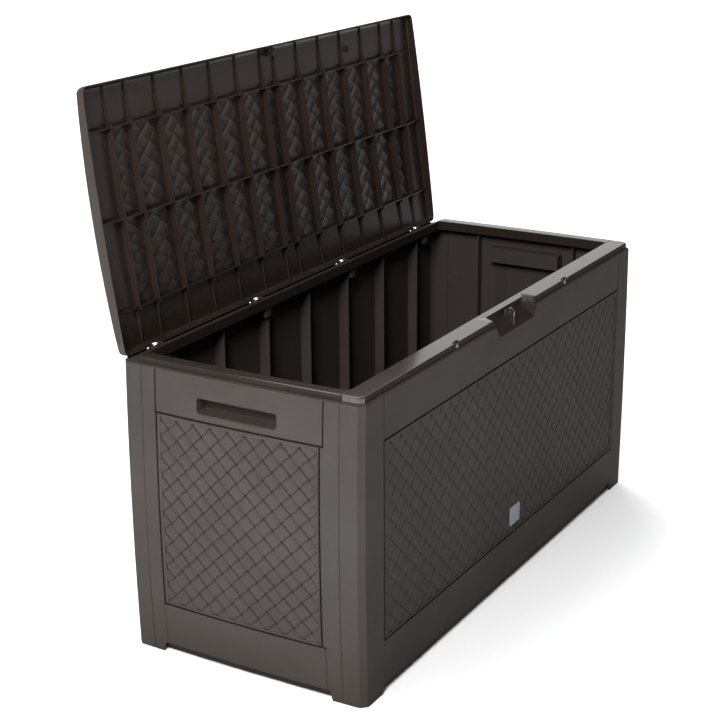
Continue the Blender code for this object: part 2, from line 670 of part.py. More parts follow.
def hinge_pin(x):
    """A headed pin along the hinge axis."""
    half = KNUCKLE_HALF + RUNNING_GAP + CHEEK_WIDE
    shaft = cylinder_x(PIN_RADIUS, x - half - 0.001, x + half, HINGE_Y, HINGE_Z)
    head = cylinder_x(0.0042, x - half - 0.0036, x - half - 0.0006, HINGE_Y, HINGE_Z)
    return add(shaft, head)


def rim_catch(x):
    """A snap nose that stands in the front rim: an upright plate with a hooked top."""
    front, back, low = CATCH_FRONT_Y, CATCH_FRONT_Y + 0.0085, SHOULDER_Z + 0.0012
    outline = [(front + 0.0015, low), (back, low), (back, 0.5598), (back - 0.0025, 0.5598),
               (front + 0.0030, 0.5580), (front + 0.0009, 0.5545), (front + 0.0023, 0.5530)]
    return prism([outline], x - CATCH_WIDE / 2, x + CATCH_WIDE / 2, "X")


def padlock_eye():
    """An upright tab with a round hole, standing on the slope of the scoop."""
    y, z = EYE_HOLE
    arc = [(y + 0.0078 * math.cos(a), z + 0.0065 * math.sin(a))
           for a in [math.pi * step / 8 for step in range(9)]]
    outline = arc + [(y - 0.0078, scoop_z(y - 0.0078) + TOUCH), (y + 0.0078, scoop_z(y + 0.0078) + TOUCH)]
    tab = prism([outline], -0.0020, 0.0020, "X")
    return cut(tab, cylinder_x(0.0032, -0.01, 0.01, y, z, 16))


def badge_plate():
    """A blank rectangular plate low on the front panel, with softened edges."""
    y = -HALF_W + PANEL_DEEP
    plate = box((BADGE_X - BADGE_WIDE / 2, y - 0.0022, BADGE_Z[0]),
                (BADGE_X + BADGE_WIDE / 2, y - TOUCH, BADGE_Z[1]))
    bevel = plate.modifiers.new("soft_edges", "BEVEL")
    bevel.width = 0.0006
    bevel.segments = 2
    return plate


def corner_screw(side_x, side_y, z):
    """A self-tapping screw driven from inside through a tongue into the end wall."""
    y = side_y * (SEAM_Y - 0.015)
    head_x = sorted((side_x * (HALF_L - SKIN - 0.0036), side_x * (HALF_L - SKIN - 0.0060)))
    shaft_x = sorted((side_x * (HALF_L - 0.0016), side_x * (HALF_L - SKIN - 0.0040)))
    shaft = cylinder_x(SCREW_RADIUS, shaft_x[0], shaft_x[1], y, z, 12)
    head = cylinder_x(0.0042, head_x[0], head_x[1], y, z, 16)
    return add(shaft, head)


# ---------------------------------------------------------------- assembly

def main():
    clear_scene()
    parts = new_collection("storage_bench")
    resin = material("umber_resin", (0.062, 0.047, 0.040), 0.42)
    lid_resin = material("umber_resin_lid", (0.055, 0.041, 0.034), 0.38)
    floor_resin = material("umber_resin_floor", (0.050, 0.038, 0.032), 0.50)
    glossy = material("umber_resin_glossy", (0.040, 0.030, 0.026), 0.18)
    pin_nylon = material("black_nylon", (0.020, 0.019, 0.018), 0.40)
    steel = material("zinc_steel", (0.600, 0.600, 0.610), 0.35, 1.0)
    badge_grey = material("badge_grey", (0.330, 0.345, 0.365), 0.35, 0.6)

    ring = body_ring()
    finish(crown(front_wall(ring)), "front_wall", resin, parts)
    finish(crown(back_wall(ring)), "back_wall", resin, parts)
    finish(crown(end_wall(ring, -1)), "end_wall_left", resin, parts)
    finish(crown(end_wall(ring, 1)), "end_wall_right", resin, parts)
    bpy.data.objects.remove(ring, do_unlink=True)
    finish(crown(floor_panel()), "floor_panel", floor_resin, parts)
    finish(build_lid(), "lid", lid_resin, parts)
    for number, x in enumerate(HINGE_X, start=1):
        finish(hinge_pin(x), f"hinge_pin_{number}", pin_nylon, parts)
    finish(rim_catch(-CATCH_X), "rim_catch_left", glossy, parts)
    finish(rim_catch(CATCH_X), "rim_catch_right", glossy, parts)
    finish(padlock_eye(), "padlock_eye", glossy, parts)
    finish(badge_plate(), "badge_plate", badge_grey, parts)
    for name_x, side_x in (("left", -1), ("right", 1)):
        for name_y, side_y in (("front", -1), ("back", 1)):
            for name_z, z in (("low", SCREW_Z[0]), ("high", SCREW_Z[1])):
                screw = crown(corner_screw(side_x, side_y, z))
                finish(screw, f"corner_screw_{name_y}_{name_x}_{name_z}", steel, parts)


main()
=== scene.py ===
"""Looks of the storage bench: moulded walls with woven panels, a ribbed lid and small glossy fittings.

Every shape is in metres in the frame of the CAD model.  The walls and the lid are rebuilt with soft
edges, grooves and modelled basket weave, and stand for their CAD nodes.
"""
import json
import math
from contextlib import contextmanager
from functools import partial

import bmesh
import bpy
import numpy as np
from mathutils import Matrix, Vector
from mathutils.geometry import delaunay_2d_cdt


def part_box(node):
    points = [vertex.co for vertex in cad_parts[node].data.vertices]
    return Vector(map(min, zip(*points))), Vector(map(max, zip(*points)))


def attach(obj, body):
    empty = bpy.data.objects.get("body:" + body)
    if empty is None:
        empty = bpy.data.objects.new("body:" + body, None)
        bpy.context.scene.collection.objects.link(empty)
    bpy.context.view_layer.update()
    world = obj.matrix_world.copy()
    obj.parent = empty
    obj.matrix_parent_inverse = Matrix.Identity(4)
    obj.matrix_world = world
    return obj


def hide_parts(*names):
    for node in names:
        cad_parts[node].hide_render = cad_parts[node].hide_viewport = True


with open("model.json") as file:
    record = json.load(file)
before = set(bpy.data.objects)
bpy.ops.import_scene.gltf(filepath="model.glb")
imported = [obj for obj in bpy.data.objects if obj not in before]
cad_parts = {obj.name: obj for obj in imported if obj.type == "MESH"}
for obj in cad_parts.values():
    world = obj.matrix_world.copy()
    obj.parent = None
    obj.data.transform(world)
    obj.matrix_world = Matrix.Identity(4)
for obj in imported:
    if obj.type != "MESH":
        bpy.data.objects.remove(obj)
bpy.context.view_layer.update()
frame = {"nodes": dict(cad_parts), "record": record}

# ------ sizes, from the frame where it has them

JOINT = frame["record"]["behaviour"]["joints"][0]
HINGE, OPEN_ANGLE = JOINT["pos_m"], math.radians(JOINT["range_deg"][1])
HALF_W = -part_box("front_wall")[0][1]
RIM_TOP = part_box("front_wall")[1][2]
HALF_L = 0.570  # half length at the corner posts
SHOULDER = RIM_TOP - 0.012  # top of the outer faces, below the rim
SKIN = 0.004  # thickness of the walls
CORNER_LEG = 0.011  # reach of the chamfer at each corner
RIM_X, RIM_FRONT, RIM_BACK = 0.5635, -0.237, 0.212  # outer edge of the rim
MOUTH_X, MOUTH_FRONT, MOUTH_BACK = 0.538, -0.197, 0.206  # inner edge of the rim
LIP, LIP_FOOT, UNDER_LEDGE, HOLLOW_TOP = 0.004, 0.537, 0.541, 0.553  # the rim's inner side
FOOT_Z = 0.019  # how high the lower edge stands between the feet
LIFT_TOP = 0.030  # grid levels below this one follow the lower edge
SEAM_Y, HALF_SEAM = 0.1986, 0.0003  # gap between long walls and end walls
SEAM_SOFT = (0.0, 0.0004, 0.0009, 0.0014)  # grid lines of a seam's soft edge
SEAM_BLEND = 0.022  # how far from the seam a post reaches its full section
CROWN_CORNER, CROWN_MIDDLE, CROWN_ALONG = 0.0050, 0.0055, 0.0045  # swell of the ends
CROWN_FROM, CROWN_SPAN = 0.505, 0.030  # where along X the swell sets in
ROUND_STEPS = 4  # pieces of the curve that rounds a corner

BAND_TOP, BAND_LOW = 0.4655, 0.1010  # the two level grooves
FRONT_GROOVE, END_GROOVE, END_PANEL_GROOVE = 0.5035, 0.1685, 0.1648  # upright grooves
PANEL_SHIFT = 0.0022  # the end panels' grooves lie off centre by this
WIDE, NARROW, HAIRLINE = 0.0014, 0.0009, 0.0002  # half widths of the grooves
DEEP = 0.0033  # depth of a panel's groove
WEAVE_LOW, WEAVE_HIGH = 0.1075, 0.4585
FRONT_WEAVE, END_WEAVE = 0.4975, 0.1585  # half lengths of the woven fields
RECESS = 0.0028  # how far the woven fields are sunk
STRAND_REPEAT = (0.0356, 0.0350)  # diagonals of one crossing
STRAND_PHASE_Z = 0.2805  # level of the middle of a crossing

WALL_RIB_FOOT, HALF_RIB = 0.037, 0.0015  # stiffening ribs inside the walls
GRIP_Z, GRIP_HALF = 0.4925, (0.080, 0.01325)  # the hand grips in the end walls
EYE_Y, EYE_Z = -0.2280, 0.5505  # hole of the padlock eye and tab
KNUCKLE = 0.006  # radius of hinge posts and cheeks

EDGE_Z = 0.5465  # lower edge of the shut lid
LID_SKIN = 0.0025
LID_HALF, LID_CROWN = 0.567, 0.0050  # half length, and swell of its ends
LID_FRONT, LID_BACK = -0.2405, 0.2250
LID_MIDDLE, LID_REACH = (LID_FRONT + LID_BACK) / 2, (LID_BACK - LID_FRONT) / 2
LID_RISE, LID_ARCH = 0.0235, 0.0068  # height, and drop from middle to edge
LID_CORNER = 0.012  # radius of the lid's corners, seen from above
EDGE_FRONT, EDGE_BACK, EDGE_END = 0.0110, 0.0080, 0.0060  # radii of its upper edge
LID_WEAVE_X, FIELD_SUNK = 0.4985, 0.0014  # the woven field on top
RIB_X = [0.023 + 0.084 * step for step in range(6)] + [0.500]
RIB_Y = (-0.163, -0.006, 0.151)
RIB_FOOT = EDGE_Z + 0.0055  # free edge of the ribs in the middle of the lid
RIB_SHALLOW = RIM_TOP + 0.0015  # and of those that pass over the rim
RIB_DROP = 0.0012  # the ribs stop this far below the lid's outer surface
HINGE_X = [sum(c[0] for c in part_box(f"hinge_pin_{n}")) / 2 + 0.0018 for n in (1, 2, 3, 4)]

WELD, SHARP = 2e-6, 30  # merging distance, and the angle in degrees that stays an edge


# ------ mesh helpers

@contextmanager
def editing(mesh):
    """The mesh opened for bmesh operators, then written back."""
    edit = bmesh.new()
    edit.from_mesh(mesh)
    yield edit
    edit.to_mesh(mesh)
    edit.free()


def placed(name, data):
    """A new object in the scene with the given mesh, lamp or camera."""
    obj = bpy.data.objects.new(name, data)
    bpy.context.scene.collection.objects.link(obj)
    return obj


def smooth(obj, angle=SHARP):
    """Smooth shading that keeps the edges where faces meet at more than the angle."""
    obj.data.shade_smooth()
    obj.data.set_sharp_from_angle(angle=math.radians(angle))
    return obj


def mesh_object(name, points, faces):
    """An object from points and faces, faces turned outward, smooth but for its sharp edges."""
    mesh = bpy.data.meshes.new(name)
    mesh.from_pydata([tuple(p) for p in points], [], [tuple(f) for f in faces])
    with editing(mesh) as edit:
        bmesh.ops.remove_doubles(edit, verts=edit.verts, dist=WELD)
        bmesh.ops.dissolve_degenerate(edit, edges=edit.edges, dist=WELD)
        bmesh.ops.recalc_face_normals(edit, faces=edit.faces)
    obj = smooth(placed(name, mesh))
    obj.modifiers.new("weighted", "WEIGHTED_NORMAL").keep_sharp = True
    return obj


def boolean(obj, other, operation):
    """Boolean the other object into obj and remove it; obj's own modifiers stay aside meanwhile."""
    shown = [m for m in obj.modifiers if m.show_viewport]
    for m in shown:
        m.show_viewport = False
    modifier = obj.modifiers.new("bool", "BOOLEAN")
    modifier.operation, modifier.solver, modifier.object = operation, "EXACT", other
    graph = bpy.context.evaluated_depsgraph_get()
    fresh = bpy.data.meshes.new_from_object(obj.evaluated_get(graph))
    obj.modifiers.remove(modifier)
    for m in shown:
        m.show_viewport = True
    obj.data = fresh
    bpy.data.objects.remove(other, do_unlink=True)
    return smooth(obj)


def join(name, objects):
    """The first object with the meshes of all of them; only its own modifiers are kept."""
    target = objects[0]
    with editing(target.data) as edit:
        for obj in objects[1:]:
            edit.from_mesh(obj.data)
        bmesh.ops.remove_doubles(edit, verts=edit.verts, dist=WELD)
        bmesh.ops.recalc_face_normals(edit, faces=edit.faces)
    for obj in objects[1:]:
        bpy.data.objects.remove(obj, do_unlink=True)
    target.name = target.data.name = name
    return smooth(target)


def loops_object(name, loops, caps=True):
    """Quads between successive loops of equal length, the end loops filled when caps is set."""
    count = len(loops[0])
    points = [p for loop in loops for p in loop]
    faces = []
    for start in range(0, len(points) - count, count):
        for i in range(count):
            j = (i + 1) % count
            faces.append((start + i, start + j, start + count + j, start + count + i))
    if caps:
        faces += [range(count), range(len(points) - count, len(points))]
    return mesh_object(name, points, faces)


def rounded(points, radii, steps=ROUND_STEPS):
    """A closed polyline whose corners are replaced by short curves of about the given radii."""
    result = []
    for i, (point, radius) in enumerate(zip(points, radii)):
        if radius <= 0.0:
            result.append(tuple(point))
            continue
        here, before, after = (np.array(points[k % len(points)], float) for k in (i, i - 1, i + 1))
        before, after = before - here, after - here
        to_before, to_after = before / np.linalg.norm(before), after / np.linalg.norm(after)
        reach = min(radius, 0.48 * np.linalg.norm(before), 0.48 * np.linalg.norm(after))
        for step in range(steps + 1):
            t = step / steps
            place = here + to_before * reach * (1 - t) ** 2 + to_after * reach * t ** 2
            result.append(tuple(place))
    return result


def bevelled(obj, width, segments=2, angle=SHARP):
    """Soft edges on a small piece, wherever faces meet at more than the angle."""
    with editing(obj.data) as edit:
        edges = [e for e in edit.edges if len(e.link_faces) == 2
                 and e.calc_face_angle(0.0) > math.radians(angle)]
        bmesh.ops.bevel(edit, geom=edges, offset=width, segments=segments, profile=0.5,
                        affect="EDGES", clamp_overlap=True)
    return smooth(obj, 40)


def prism(name, outline, low, high, axis):
    """A flat outline extruded between two levels along X, Y or Z."""
    at = "XYZ".index(axis)
    return loops_object(name, [[(*p[:at], level, *p[at:]) for p in outline] for level in (low, high)])


def block(name, low, high):
    """A plain box between two corners."""
    (x0, y0, z0), (x1, y1, z1) = low, high
    return prism(name, [(x0, y0), (x1, y0), (x1, y1), (x0, y1)], z0, z1, "Z")


def slab(name, x, half, low, high):
    """A box about a plane across X, between two corners given as (y, z)."""
    return block(name, (x - half, *low), (x + half, *high))


def eye_hole(radius, x0, x1, sides):
    """The cutter for the padlock's hole."""
    turns = [2 * math.pi * k / sides for k in range(sides)]
    outline = [(EYE_Y + radius * math.cos(a), EYE_Z + radius * math.sin(a)) for a in turns]
    return prism("hole", outline, x0, x1, "X")


def arc_points(y, z, reach, rise, start=0, stop=math.pi):
    """Points of an arc in the YZ plane, between two angles in radians."""
    return [(y + reach * math.cos(a), z + rise * math.sin(a)) for a in np.linspace(start, stop, 17)]


def normals(outline):
    """Unit normals along a closed outline, to the right of its direction."""
    along = np.roll(outline, -1, 0) - np.roll(outline, 1, 0)
    normal = np.stack([along[:, 1], -along[:, 0]], 1)
    return normal / (np.linalg.norm(normal, axis=1)[:, None] + 1e-12)


# ------ shape of the body

def crowned(points):
    """Swell whatever lies near the ends of the box outward, most at mid height."""
    p = np.array(points, float)
    near = np.clip((np.abs(p[:, 0]) - CROWN_FROM) / CROWN_SPAN, 0.0, 1.0)
    up = 1.0 - ((np.clip(p[:, 2], 0.0, SHOULDER) - SHOULDER / 2) / (SHOULDER / 2)) ** 2
    along = 1.0 - np.clip(np.abs(p[:, 1]) / HALF_W, 0.0, 1.0) ** 2
    p[:, 0] += np.sign(p[:, 0]) * near * (CROWN_CORNER * up + CROWN_MIDDLE * up * along + CROWN_ALONG * along)
    return p


def crown_object(obj):
    """The same swell on a finished mesh."""
    flat = np.empty(len(obj.data.vertices) * 3)
    obj.data.vertices.foreach_get("co", flat)
    obj.data.vertices.foreach_set("co", crowned(flat.reshape(-1, 3)).ravel())
    obj.data.update()
    return obj


def mirrored(lines):
    """Grid lines in order and without repeats, on both sides of the middle."""
    ahead = sorted({round(v, 6) for v in lines})
    return [-v for v in ahead[::-1] if v > 0] + ahead


def groove_lines(middle, half):
    """Grid lines that a groove needs on both sides of its middle."""
    more = (-0.0003, 0.0, 0.0003, 0.0006)
    return [middle] + [middle + side * (half + beyond) for side in (-1, 1) for beyond in more]


def recess_lines(edge, inward):
    """Grid lines that the edge of a recess needs; inward is the sign of the side it lies on."""
    return [edge + inward * more for more in (-0.0006, -0.0001, 0.0005, 0.0010)]


def eased(share, depth):
    """Depth at a share of the way down a soft slope."""
    t = np.clip(share, 0.0, 1.0)
    return depth * t * t * (3 - 2 * t)


def groove_depth(distance, half, depth):
    """Depth of a soft-edged groove at a distance from its middle."""
    return eased((half + 0.0004 - np.abs(distance)) / 0.0007, depth)


def face_depth(a, z, long_side):
    """How far the outer face is sunk, by its grooves and the recess of the weave."""
    reach, panel_at, shift, half_weave, upper_half, upper_deep = (
        (FRONT_GROOVE, FRONT_GROOVE, 0.0, FRONT_WEAVE, 0.0005, 0.0016) if long_side else
        (END_GROOVE, END_PANEL_GROOVE, PANEL_SHIFT, END_WEAVE, NARROW, 0.0030))
    level, panel = np.abs(a) < reach + 0.0012, (z > BAND_LOW) & (z < BAND_TOP)
    upper, beside = (z >= BAND_TOP) & (z < SHOULDER - 0.0005), np.abs(a) - reach
    grooves = ((level, groove_depth(z - BAND_TOP, WIDE, DEEP)),
               (level, groove_depth(z - BAND_LOW, WIDE, DEEP)),
               (panel, groove_depth(np.abs(a - shift) - panel_at, WIDE, DEEP)),
               (upper, groove_depth(beside, upper_half, upper_deep)),
               (z <= BAND_LOW, groove_depth(beside, HAIRLINE, 0.0010)))
    inside = np.minimum(half_weave - np.abs(a), np.minimum(z - WEAVE_LOW, WEAVE_HIGH - z))
    return np.maximum.reduce([eased((inside + 0.0006) / 0.0016, RECESS)]
                             + [np.where(where, depth, 0.0) for where, depth in grooves])


def height_lines():
    """Levels of the grid up an outer face."""
    lines = [0.006, 0.012, FOOT_Z, LIFT_TOP, 0.060, 0.080, 0.475, 0.490, 0.505, 0.520, 0.532, 0.541]
    lines += list(np.linspace(WEAVE_LOW + 0.030, WEAVE_HIGH - 0.030, 9))
    lines += groove_lines(BAND_TOP, WIDE) + groove_lines(BAND_LOW, WIDE)
    lines += recess_lines(WEAVE_LOW, 1) + recess_lines(WEAVE_HIGH, -1)
    return sorted({round(v, 6) for v in lines})


def wall_rows(front_points, end_points, legs):
    """The wall's section as rows: front inset and level, end inset and level, corner leg, outward normal."""
    radii = [0.0008, 0.0012, 0.0026, 0.0012, 0.0024, 0.0022, 0.0012, 0.0012]
    radii += [0.0006] * (len(front_points) - len(radii))
    front, end, leg = list(front_points), list(end_points), list(legs)
    for z in reversed(height_lines()):
        for rows, row in ((front, (0.0, z)), (end, (0.0, z)), (leg, legs[1]), (radii, 0.0)):
            rows.insert(2, row)
    section = np.array(rounded(front, radii))
    leg = [value for value, radius in zip(leg, radii) for _ in range(ROUND_STEPS + 1 if radius > 0 else 1)]
    return section, np.array(rounded(end, radii)), np.array(leg), -normals(section)


def foot_level(a, long_side):
    """Level of the wall's lower edge: raised between the feet, with a short slope at each foot."""
    outer, inner = (0.5105, 0.5035) if long_side else (0.1785, 0.1735)
    return FOOT_Z * np.clip((outer - np.abs(a)) / (outer - inner), 0.0, 1.0)


def lifted(z, a, long_side):
    """Levels near the ground follow the lower edge of the wall."""
    low = foot_level(a, long_side)
    return np.where(z < LIFT_TOP, low + z * (LIFT_TOP - low) / LIFT_TOP, z)


def seam_softness(q):
    """Inset of the last few millimetres before a seam."""
    return 0.0007 * np.clip(1.0 - q / 0.0012, 0.0, 1.0) ** 2


def long_wall(name, side, front_points, end_points, legs):
    """A front or back wall that wraps both corners, as one closed loft from seam to seam."""
    section, ends, leg, normal = wall_rows(front_points, end_points, legs)
    depth, z = section[:, 0], section[:, 1]
    outer = np.abs(depth) < 1e-9
    seam = SEAM_Y + HALF_SEAM
    corner_y = HALF_W - depth - leg
    corner_x = HALF_L - ends[:, 0] - leg
    beyond = corner_y < seam  # rows too deep in the box to wrap the corner: they stop at the seam
    stop_x = np.minimum(corner_x, MOUTH_X - 0.005 - 2 * HALF_SEAM)
    wraps = []
    for sign in (-1, 1):
        part = []
        for q in (*SEAM_SOFT, 0.012, SEAM_BLEND, 1.0):  # from the seam to the chamfer, which is at 1
            y = np.where(q == 1.0, corner_y, np.minimum(seam + q, corner_y))
            x = HALF_L - ends[:, 0] - seam_softness(q) * (normal[:, 0] < -0.5)
            share = min(q / SEAM_BLEND, 1.0)
            x = np.where(beyond, RIM_X * (1 - share) + stop_x * share, x)
            y = np.where(beyond, seam, y)
            part.append(np.stack([sign * x, side * y, lifted(z, y, False)], 1))
        for t in (0.12, 0.26, 0.5, 0.74, 0.88):  # across the chamfer
            x = np.where(beyond, stop_x, HALF_L - ends[:, 0] - leg * t)
            y = np.where(beyond, seam + (HALF_W - depth - seam) * t, corner_y + leg * t)
            part.append(np.stack([sign * x, side * y, z], 1))
        wraps.append(part)
    lines = [0.0, 0.5135, 0.5105, 0.5070, 0.530, *np.linspace(0.05, 0.45, 9), *recess_lines(FRONT_WEAVE, -1)]
    for half in (WIDE, HAIRLINE, 0.0005):
        lines += groove_lines(FRONT_GROOVE, half)
    middle = []
    for a in [-1.0, *mirrored(lines), 1.0]:  # the first and last end at the chamfer
        x = np.clip(a, -corner_x, corner_x)
        x = np.where(beyond, np.clip(x, -stop_x, stop_x), x)
        deep = np.where(outer, face_depth(a, z, True), 0.0) if abs(a) < 1 else 0.0
        middle.append(np.stack([x, side * (HALF_W - depth - deep), lifted(z, a, True)], 1))
    stations = wraps[0] + middle + wraps[1][::-1]
    return loops_object(name, [crowned(s) for s in stations])


def end_wall(name, side):
    """An end wall between its two seams, as one closed loft."""
    section, _, _, normal = wall_rows(END_SECTION, END_SECTION, [0.0] * len(END_SECTION))
    depth, z = section[:, 0], section[:, 1]
    outer = np.abs(depth) < 1e-9
    seam, narrows = SEAM_Y - HALF_SEAM, 0.192  # the ledge narrows from there to the seam
    lines = [0.0, 0.025, 0.050, 0.0735, 0.085, 0.100, 0.125, 0.140, 0.1785, 0.1735, narrows]
    lines += groove_lines(END_GROOVE, NARROW) + groove_lines(END_GROOVE, HAIRLINE)
    for shift in (-PANEL_SHIFT, PANEL_SHIFT):
        lines += groove_lines(END_PANEL_GROOVE + shift, WIDE)
    lines += recess_lines(END_WEAVE, -1) + [seam - soft for soft in SEAM_SOFT]
    stations = []
    for y in mirrored(lines):
        row = np.full_like(z, y)
        soft = seam_softness(seam - abs(y))
        deep = np.where(outer, face_depth(row, z, False), 0.0)
        x = HALF_L - depth - deep - np.where(normal[:, 0] < -0.5, soft, 0.0)
        if abs(y) > narrows:
            x = np.where(depth > 0.025, x - (abs(y) - narrows), x)
        level = lifted(z, row, False) - np.where(normal[:, 1] > 0.5, soft, 0)
        stations.append(crowned(np.stack([side * x, row, level], 1)))
    return loops_object(name, stations)


# ------ basket weave

BULGE, PINCH = 0.540, 0.40  # half width of a strand in the middle of a crossing, and how it narrows
CELL = (-0.5, -0.475, -0.445, -0.40, -0.32, -0.20, -0.07, 0.07, 0.20, 0.32, 0.40, 0.445, 0.475)


def strand(across, along, top, end):
    """Height of one strand, which is widest and highest in the middle of each crossing."""
    edge = BULGE - PINCH * along ** 2
    flank = np.clip((edge - np.abs(across)) / 0.085, 0.0, 1.0)
    rise = end + (top - end) * np.cos(math.pi * np.clip(along, -0.5, 0.5)) ** 1.1
    return np.sqrt(1.0 - (1.0 - flank) ** 2) * rise * (1.0 - 0.16 * (2 * across) ** 2)


def weave_height(u, v, top, end):
    """Height of a plain weave of flat strands at strand coordinates u and v."""
    i, j = np.round(u), np.round(v)
    fu, fv = u - i, v - j
    over = np.mod(i + j, 2) < 0.5
    along, across = np.where(over, fu, fv), np.where(over, fv, fu)
    return np.maximum(strand(across, along, top, end), strand(1.0 - np.abs(along), across, top, end))


def weave_patch(name, a_range, b_range, phase, place, top=0.0027, end=0.0007, turned=True):
    """A sheet of basket weave over a rectangle; place turns (a, b, height) into points."""
    (a0, a1), (b0, b1), (pa, pb) = a_range, b_range, STRAND_REPEAT

    def strands_at(a, b):
        x, y = (a - phase[0]) / pa, (b - phase[1]) / pb
        return x + y, x - y

    def lines(low, high):
        first, last = math.floor(low) - 1, math.ceil(high) + 1
        return np.array([k + c for k in range(first, last + 1) for c in CELL])

    us, vs = zip(*(strands_at(a, b) for a in (a0, a1) for b in (b0, b1)))
    u, v = np.meshgrid(lines(min(us), max(us)), lines(min(vs), max(vs)), indexing="ij")
    a, b = phase[0] + pa * (u + v) / 2, phase[1] + pb * (u - v) / 2
    inside = (a > a0) & (a < a1) & (b > b0) & (b < b1)
    near = inside[:-1, :-1] | inside[1:, :-1] | inside[:-1, 1:] | inside[1:, 1:]
    a, b = np.clip(a, a0, a1), np.clip(b, b0, b1)
    u, v = strands_at(a, b)
    points = place(a.ravel(), b.ravel(), weave_height(u, v, top, end).ravel())
    index = np.arange(u.size).reshape(u.shape)
    quads = np.stack([index[:-1, :-1], index[1:, :-1], index[1:, 1:], index[:-1, 1:]], -1)[near]
    used, renumbered = np.unique(quads, return_inverse=True)
    quads = renumbered.reshape(-1, 4)
    mesh = bpy.data.meshes.new(name)
    mesh.from_pydata(points[used].tolist(), [], (quads[:, ::-1] if turned else quads).tolist())
    mesh.validate()
    mesh.shade_smooth()
    return placed(name, mesh)


# ------ walls

def rim_section(band, mouth, inner, lip=LIP):
    """Section of a wall as (inset, level): outer face, shoulder, rim from band to mouth, and inner side."""
    return [(SKIN, 0.0), (0.0, 0.0), (0.0, SHOULDER), (band, SHOULDER), (band, RIM_TOP), (mouth, RIM_TOP),
            (mouth, LIP_FOOT), (mouth - lip, LIP_FOOT), *inner, (SKIN, UNDER_LEDGE)]


def hollow_section(band, mouth):
    """The section of the front and end walls, whose ledge is hollow below."""
    return rim_section(band, mouth, [(mouth - LIP, HOLLOW_TOP), (band + LIP, HOLLOW_TOP),
                                     (band + LIP, UNDER_LEDGE)])


END_SECTION = hollow_section(HALF_L - RIM_X, HALF_L - MOUTH_X)
POST_LEGS = [CORNER_LEG] * 3 + [0.008] * 2 + [0.005] * 4  # the chamfer's reach at the points of a section


def rib_section(side, half, reach, band, top):
    """Outline of a rib on the inside of a wall, stepped where it passes the rim."""
    skin, inner, step = half - SKIN + 0.0005, half - reach, min(top, 0.5425)
    return [(side * across, z) for across, z in ((skin, WALL_RIB_FOOT), (inner, WALL_RIB_FOOT), (inner, top),
                                                 (band, top), (band, step), (skin, step))]


def wall_ribs(side, top):
    """Upright stiffening ribs on the inside of a long wall."""
    outline = rib_section(side, HALF_W, 0.027, -RIM_FRONT - 0.002, top)
    return [bevelled(prism("rib", outline, x - HALF_RIB, x + HALF_RIB, "X"), 0.0006)
            for x in (-0.45, -0.30, -0.15, 0.0, 0.15, 0.30, 0.45)]


def scoop_cutter():
    """The finger scoop: a wedge with soft edges, wide at the face and narrower at its back."""
    corners = [(0.0735, -0.262, 0.5060), (0.0735, -HALF_W, 0.5230), (0.0660, -0.2140, 0.5445),
               (0.0840, -0.2140, 0.5650), (0.1096, -0.262, 0.5650), (0.1010, -0.262, 0.5450)]
    obj = placed("scoop", bpy.data.meshes.new("scoop"))
    with editing(obj.data) as edit:
        for x, y, z in corners:
            edit.verts.new((x, y, z))
            edit.verts.new((-x, y, z))
        bmesh.ops.convex_hull(edit, input=edit.verts)
        bmesh.ops.dissolve_limit(edit, angle_limit=0.01, verts=edit.verts, edges=edit.edges)
    return bevelled(obj, 0.0022, 3)


def build_front():
    section = hollow_section(HALF_W + RIM_FRONT, HALF_W + MOUTH_FRONT)
    wall = long_wall("front_wall_shell", -1, section, END_SECTION, POST_LEGS + [0.007] * 2 + [0.0094])
    face, back, lip = -HALF_W + 0.0020, -0.2100, RIM_FRONT + 0.0025
    top, shoulder, foot = RIM_TOP - 0.0005, SHOULDER - 0.0030, 0.5190
    pan = [(face, foot), (back, foot), (back, top), (lip, top), (lip, shoulder), (face, shoulder)]
    boolean(wall, prism("pan", pan, -0.0985, 0.0985, "X"), "UNION")
    boolean(wall, scoop_cutter(), "DIFFERENCE")
    for name in ("rim_catch_left", "rim_catch_right"):
        low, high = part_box(name)
        pad = block("pad", (low[0] - 0.007, RIM_FRONT + 0.0005, 0.5415),
                    (high[0] + 0.007, high[1] + 0.004, top))
        notch = block("notch", (low[0] - 0.0004, low[1] - 0.002, low[2] - 0.0005),
                      (high[0] + 0.0004, high[1] + 0.0004, 0.58))
        boolean(boolean(wall, pad, "UNION"), bevelled(notch, 0.0006), "DIFFERENCE")
    return join("front_wall_shell", [wall] + wall_ribs(-1, 0.5535))


def hinge_post(x):
    """A round-topped post that holds the middle of a hinge pin, on its foot."""
    _, y, z = HINGE
    outline = arc_points(y, z, KNUCKLE, KNUCKLE) + [(y - KNUCKLE, 0.519), (y + KNUCKLE, 0.519)]
    web = prism("web", outline, x - 0.008, x + 0.008, "X")
    foot = slab("foot", x, 0.0076, (RIM_BACK - 0.003, 0.518), (HALF_W - SKIN + 0.001, 0.5345))
    return boolean(bevelled(web, 0.0007), foot, "UNION")


